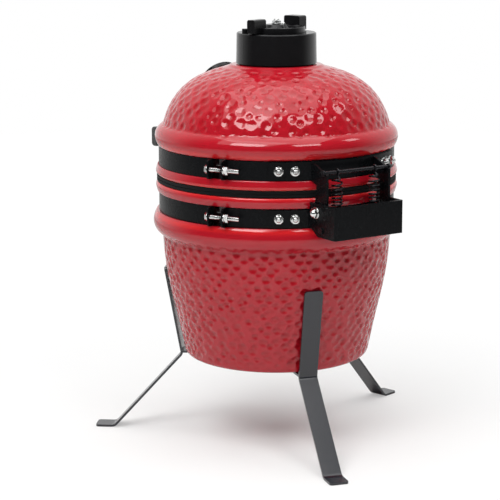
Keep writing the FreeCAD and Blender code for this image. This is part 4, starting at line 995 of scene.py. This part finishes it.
# ---- settings ------------------------------------------------------------------------------
def pit_fields(pitch, smallest, largest, depth, stretch):
    """The settings of one shell's pits, with the values they start from."""
    return {
        "pitch": FloatProperty(
            name="Pitch", description="Distance between pits in mm", default=pitch, min=4.0),
        "smallest": FloatProperty(name="Smallest pit", description="Height in mm", default=smallest, min=2.0),
        "largest": FloatProperty(name="Largest pit", description="Height in mm", default=largest, min=2.0),
        "depth": FloatProperty(name="Depth", description="Deepest pit in mm", default=depth, min=0.0),
        "stretch": FloatProperty(name="Stretch", description="Width over height", default=stretch, min=0.5)}


class KamadoBasePits(PropertyGroup):
    __annotations__ = pit_fields(pitch=17.0, smallest=8.0, largest=13.5, depth=2.2, stretch=1.15)


class KamadoLidPits(PropertyGroup):
    __annotations__ = pit_fields(pitch=19.0, smallest=9.0, largest=16.5, depth=1.35, stretch=1.05)


class KamadoColours(PropertyGroup):
    __annotations__ = {
        key: FloatVectorProperty(
            name=name, description=description, subtype="COLOR", default=linear(code)[:3])
        for key, name, description, code in (
            ("glaze_body", "Glaze", "Glaze at its usual thickness", "A91322"),
            ("glaze_cloud", "Glaze, clouded", "Glaze where it is slightly thicker", "9F111E"),
            ("glaze_thin", "Thin glaze", "Glaze on crests and lips", "C61E21"),
            ("glaze_pool", "Pooled glaze", "Glaze in the bottom of a pit", "970E18"),
            ("band_coat", "Band coat", "Powder coat of bands and brackets", "0D0E10"),
            ("stand_coat", "Stand coat", "Powder coat of the stand", "1C1E25"))}


class KamadoStudio(PropertyGroup):
    lens: FloatProperty(name="Lens", description="Focal length in mm", default=130.6, min=1.0)
    distance: FloatProperty(
        name="Distance", description="Camera from the grill's axis", default=2.392, unit="LENGTH")
    height: FloatProperty(name="Height", description="Camera above the floor", default=0.7431, unit="LENGTH")
    bearing: FloatProperty(
        name="Bearing", description="Camera round the axis from +X", default=math.radians(56.0),
        subtype="ANGLE")
    tilt: FloatProperty(
        name="Tilt", description="Downward tilt", default=math.radians(11.64), subtype="ANGLE")
    shift: FloatProperty(name="Shift", description="Sideways shift of the frame", default=-0.0529)


class KamadoSettings(PropertyGroup):
    base_pits: PointerProperty(type=KamadoBasePits)
    lid_pits: PointerProperty(type=KamadoLidPits)
    colours: PointerProperty(type=KamadoColours)
    studio: PointerProperty(type=KamadoStudio)
    spring_turns: IntProperty(
        name="Spring turns", description="Turns of each hinge spring", default=10, min=3)


# ---- operators -----------------------------------------------------------------------------
class KAMADO_OT_shells(Operator):
    """Glaze the ceramic base and lid"""
    bl_idname = "kamado.shells"
    bl_label = "Glazed shells"

    def execute(self, context):
        settings = context.scene.kamado
        build_base(settings)
        build_lid(settings)
        return {"FINISHED"}


class KAMADO_OT_gaskets(Operator):
    """Lay the felt gaskets"""
    bl_idname = "kamado.gaskets"
    bl_label = "Gaskets"

    def execute(self, context):
        black_felt = felt()
        put("felt_base_ring", felt_ring("base_gasket"), [black_felt], "base", ("base_gasket",))
        put("felt_lid_ring", felt_ring("lid_gasket"), [black_felt], "lid", ("lid_gasket",))
        paint(black_felt, "neck_gasket")
        return {"FINISHED"}


class KAMADO_OT_steelwork(Operator):
    """Powder coat the bands, brackets and stand"""
    bl_idname = "kamado.steelwork"
    bl_label = "Steelwork"

    def execute(self, context):
        colours = context.scene.kamado.colours
        black = powder_coat("black_powder_coat", colours.band_coat, 0.8, (0.22, 0.3), 0.1)
        paint(black, "upper_band", "lower_band",
              "hinge_lower_bracket", "hinge_upper_bracket", "handle_brackets")
        grey = powder_coat("grey_powder_coat", colours.stand_coat, 0.9, (0.17, 0.23), 0.62)
        paint(grey, "stand_cradle", "leg_left", "leg_rear", "leg_right")
        return {"FINISHED"}


class KAMADO_OT_fasteners(Operator):
    """Make the clamp bolts, bracket bolts, pivots and nuts"""
    bl_idname = "kamado.fasteners"
    bl_label = "Fasteners"

    def execute(self, context):
        zinc = bright_zinc()
        for level, body in (("upper", "lid"), ("lower", "base")):
            bolt, fixed = clamp_sets(level)
            put(level + "_clamp_bolt", bolt, [zinc], body, (level + "_band_bolt",))
            put(level + "_clamp_nut", fixed, [zinc], body, (level + "_band_nut",))
            studs, nuts = bracket_sets(level)
            put(level + "_flange_studs", studs, [zinc], body, (level + "_bracket_bolts",))
            put(level + "_flange_nuts", nuts, [zinc], body, (level + "_bracket_nuts",))
        put("pivot_caps", pivot_set(), [zinc], "base", ("hinge_pivot_bolts",))
        paint(zinc, "hinge_pivot_nuts", "handle_screws", "thermometer_stem", "thermometer_wing_nut")
        return {"FINISHED"}


class KAMADO_OT_springs(Operator):
    """Coil the two hinge springs and stretch them between base and lid"""
    bl_idname = "kamado.springs"
    bl_label = "Springs"

    def execute(self, context):
        wire = spring_wire()
        paint(wire, "spring_bar", "anchor_bar")
        for name in ("spring_left", "spring_right"):
            shape, start, end = hooked_spring(middle_of(name)[0], context.scene.kamado.spring_turns)
            piece = put("coil_" + name, shape, [wire], None, (name,))
            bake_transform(piece)
        return {"FINISHED"}


class KAMADO_OT_vent(Operator):
    """Finish the cast vent cap, its damper and their hardware"""
    bl_idname = "kamado.vent"
    bl_label = "Vent cap"

    def execute(self, context):
        paint(cast_paint(), "vent_collar", "vent_wheel", "vent_cap_screw")
        zinc = bright_zinc()
        low, high = limits("vent_stud")
        nut_low, nut_high = limits("vent_stud_nut")
        length = high[2] - low[2]
        stud = standing(thread(4.0, length, 1.25), (0, 0, low[2]), (0, 0, 1))
        put("vent_threaded_stud", stud, [zinc], "lid", ("vent_stud",))
        fixed = merged([washer(6.5, 4.2, 1.0), raised(nut(10.0, nut_high[2] - nut_low[2] - 1.0, 4.06), 1.0)])
        put("vent_crown_nut", standing(fixed, (0, 0, nut_low[2]), (0, 0, 1)), [zinc], "lid",
            ("vent_stud_nut",))
        low, high = limits("vent_hub_rivet")
        rivet = revolve(domed((high[0] - low[0]) / 2, 0.4, high[2] - low[2] - 0.4, 0.0, 7), 32)
        foot = (*middle_of("vent_hub_rivet")[:2], low[2])
        put("vent_domed_rivet", standing(rivet, foot, (0, 0, 1)), [zinc], "vent_damper",
            ("vent_hub_rivet",))
        return {"FINISHED"}


class KAMADO_OT_thermometer(Operator):
    """Finish the thermometer and print its dial"""
    bl_idname = "kamado.thermometer"
    bl_label = "Thermometer"

    def execute(self, context):
        paint(cast_paint(), "thermometer_case", "thermometer_bezel")
        paint(dial_enamel(), "thermometer_dial")
        paint(gauge_glass(), "thermometer_lens")
        paint(ink("red_pointer_lacquer", "A8121A", "8E0F16"), "thermometer_pointer")
        joint = next(j for j in frame["joints"] if j["name"] == "pointer_sweep")
        out = -Vector(joint["axis"]).normalized()
        pivot = Vector(joint["pos_m"])
        up = (Vector((0, 0, 1)) - out * out.z).normalized()
        turn = Matrix((up.cross(out), up, out)).transposed().to_4x4()
        face = Matrix.Translation(pivot - out * 0.0005) @ turn
        black = ink("dial_ink", "1A1A1A", "262626")
        marks = put("dial_marks", dial_marks(), [black], None)
        marks.data.transform(face)
        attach(marks, "lid")
        for i, value in enumerate(range(50, 50 * SCALE_NUMBERS + 1, 50)):
            bearing = math.radians(SCALE_START_DEG + SCALE_SWEEP_DEG * i / (SCALE_NUMBERS - 1))
            mesh = numeral(str(value), 3.6 * MM)
            reach = (DIAL_R - 8.0) * MM
            place = (reach * math.sin(bearing), reach * math.cos(bearing), 0)
            mesh.transform(face @ Matrix.Translation(place))
            mesh.materials.clear()
            mesh.materials.append(black)
            digits = bpy.data.objects.new(f"dial_number_{value}", mesh)
            context.scene.collection.objects.link(digits)
            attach(digits, "lid")
        return {"FINISHED"}


class KAMADO_OT_handle(Operator):
    """Finish the handle"""
    bl_idname = "kamado.handle"
    bl_label = "Handle"

    def execute(self, context):
        paint(moulded_phenolic(), "handle_grip", "draft_knob")
        return {"FINISHED"}


class KAMADO_OT_draft_door(Operator):
    """Finish the draft door and its frame, and drive the frame's screws"""
    bl_idname = "kamado.draft_door"
    bl_label = "Draft door"

    def execute(self, context):
        paint(brushed_stainless(), "draft_frame", "draft_door")
        points = cloud_of("draft_frame_screws")
        heights = (points[:, 2].min(), points[:, 2].max())
        screws = []
        for azimuth in np.radians(standing_round("draft_frame_screws")):
            out, along = radial(azimuth)
            near = np.abs(points @ along) < 6.0
            for z in heights:
                row = near & (np.abs(points[:, 2] - z) < 6.0)
                reach = points[row] @ out
                level = mid_range(points[row][:, 2])
                screws.append(standing(pan_head(2.6, reach.max() - reach.min()),
                                       out * reach.min() + (0, 0, level), out))
        put("draft_pan_screws", merged(screws), [bright_zinc()], "base",
            ("draft_frame_screws",))
        return {"FINISHED"}


class KAMADO_OT_fire_parts(Operator):
    """Finish the fire box, fire ring and grates"""
    bl_idname = "kamado.fire_parts"
    bl_label = "Fire parts"

    def execute(self, context):
        paint(fire_clay(), "fire_box", "fire_ring")
        paint(grey_iron(), "charcoal_grate")
        paint(plated_wire(), "cooking_grate")
        return {"FINISHED"}


def studio_room(tree, bearing):
    """Light of the room: a white sweep behind the grill, and the dim studio on the camera's
    side of it.  Seen directly the room is plain white on every side."""
    way = add(tree, "ShaderNodeTexCoord").outputs["Generated"]
    behind = add(tree, "ShaderNodeVectorMath", {"operation": "DOT_PRODUCT"}, {
        0: way, 1: (-math.cos(bearing), -math.sin(bearing), 0.0)}).outputs["Value"]
    light = add(tree, "ShaderNodeMapRange", {"interpolation_type": "SMOOTHSTEP"}, {
        "Value": behind, "From Min": -0.3, "From Max": 0.6, "To Min": 0.1, "To Max": 1.0}).outputs["Result"]
    seen = add(tree, "ShaderNodeLightPath").outputs["Is Camera Ray"]
    strength = add(tree, "ShaderNodeMath", {"operation": "MAXIMUM"}, {0: light, 1: seen}).outputs["Value"]
    sky = add(tree, "ShaderNodeBackground", inputs={"Color": (1.0, 1.0, 1.0, 1.0), "Strength": strength})
    add(tree, "ShaderNodeOutputWorld", inputs={"Surface": sky.outputs["Background"]})


def lamp(name, bearing_deg, elevation_deg, distance, size, radiance):
    """A soft rectangular light of an even radiance that faces the middle of the grill."""
    a, e = math.radians(bearing_deg), math.radians(elevation_deg)
    aim = Vector((0, 0, 0.3))
    place = aim + Vector((math.cos(a) * math.cos(e), math.sin(a) * math.cos(e), math.sin(e))) * distance
    data = bpy.data.lights.new(name, "AREA")
    data.shape = "RECTANGLE"
    data.size, data.size_y = size
    data.energy = radiance * math.pi * size[0] * size[1]
    light = bpy.data.objects.new(name, data)
    light.location = place
    light.rotation_euler = (aim - place).to_track_quat("-Z", "Y").to_euler()
    bpy.context.scene.collection.objects.link(light)


class KAMADO_OT_stage(Operator):
    """Lay the floor and set the lights and the camera"""
    bl_idname = "kamado.stage"
    bl_label = "Studio"

    def execute(self, context):
        studio = context.scene.kamado.studio
        floor = put("studio_floor", revolve([(0.0, -0.2), (3000.0, -0.2), (3000.0, -0.1), (0.0, -0.1)], 96),
                    [studio_paper()], None)
        scene = context.scene
        scene.view_settings.view_transform = "Standard"
        world = bpy.data.worlds.new("studio_white")
        scene.world = world
        world.use_nodes = True
        world.node_tree.nodes.clear()
        studio_room(world.node_tree, studio.bearing)
        lamp("overhead_bank", 60.0, 82.0, 2.2, (2.4, 2.2), 2.1)
        lamp("key_bank", 26.0, 44.0, 1.8, (0.85, 0.58), 8.0)
        lamp("key_spill", 22.0, 55.0, 1.82, (1.5, 1.2), 1.7)
        lamp("far_bank", 147.0, 45.0, 1.8, (0.4, 0.3), 5.0)
        lamp("right_bank", 88.0, 42.0, 2.0, (0.75, 0.42), 8.0)
        camera_data = bpy.data.cameras.new("camera")
        camera_data.lens = studio.lens
        camera_data.sensor_width = 36.0
        camera_data.shift_x = studio.shift
        camera = bpy.data.objects.new("camera", camera_data)
        a, t = studio.bearing, studio.tilt
        camera.location = (studio.distance * math.cos(a), studio.distance * math.sin(a), studio.height)
        way = Vector((-math.cos(a) * math.cos(t), -math.sin(a) * math.cos(t), -math.sin(t)))
        camera.rotation_euler = way.to_track_quat("-Z", "Y").to_euler()
        scene.collection.objects.link(camera)
        scene.camera = camera
        return {"FINISHED"}


OPERATORS = (
    KAMADO_OT_stage, KAMADO_OT_shells, KAMADO_OT_gaskets, KAMADO_OT_steelwork, KAMADO_OT_fasteners,
    KAMADO_OT_springs, KAMADO_OT_vent, KAMADO_OT_thermometer, KAMADO_OT_handle, KAMADO_OT_draft_door,
    KAMADO_OT_fire_parts)


class KAMADO_PT_grill(Panel):
    """Settings and steps of the grill"""
    bl_idname = "KAMADO_PT_grill"
    bl_label = "Kamado grill"
    bl_space_type = "VIEW_3D"
    bl_region_type = "UI"
    bl_category = "Grill"

    def draw(self, context):
        settings = context.scene.kamado
        layout = self.layout
        for group in (settings.base_pits, settings.lid_pits, settings.colours, settings.studio):
            box = layout.box()
            for name in group.bl_rna.properties.keys():
                if name not in {"rna_type", "name"}:
                    box.prop(group, name)
        layout.prop(settings, "spring_turns")
        for operator in OPERATORS:
            layout.operator(operator.bl_idname)


CLASSES = (KamadoBasePits, KamadoLidPits, KamadoColours, KamadoStudio, KamadoSettings,
           *OPERATORS, KAMADO_PT_grill)


def register():
    for cls in CLASSES:
        bpy.utils.register_class(cls)
    bpy.types.Scene.kamado = PointerProperty(type=KamadoSettings)


def unregister():
    del bpy.types.Scene.kamado
    for cls in reversed(CLASSES):
        bpy.utils.unregister_class(cls)


def main():
    """Run every step in order."""
    register()
    for operator in OPERATORS:
        group, step = operator.bl_idname.split(".")
        getattr(getattr(bpy.ops, group), step)()


if __name__ == "__main__":
    main()
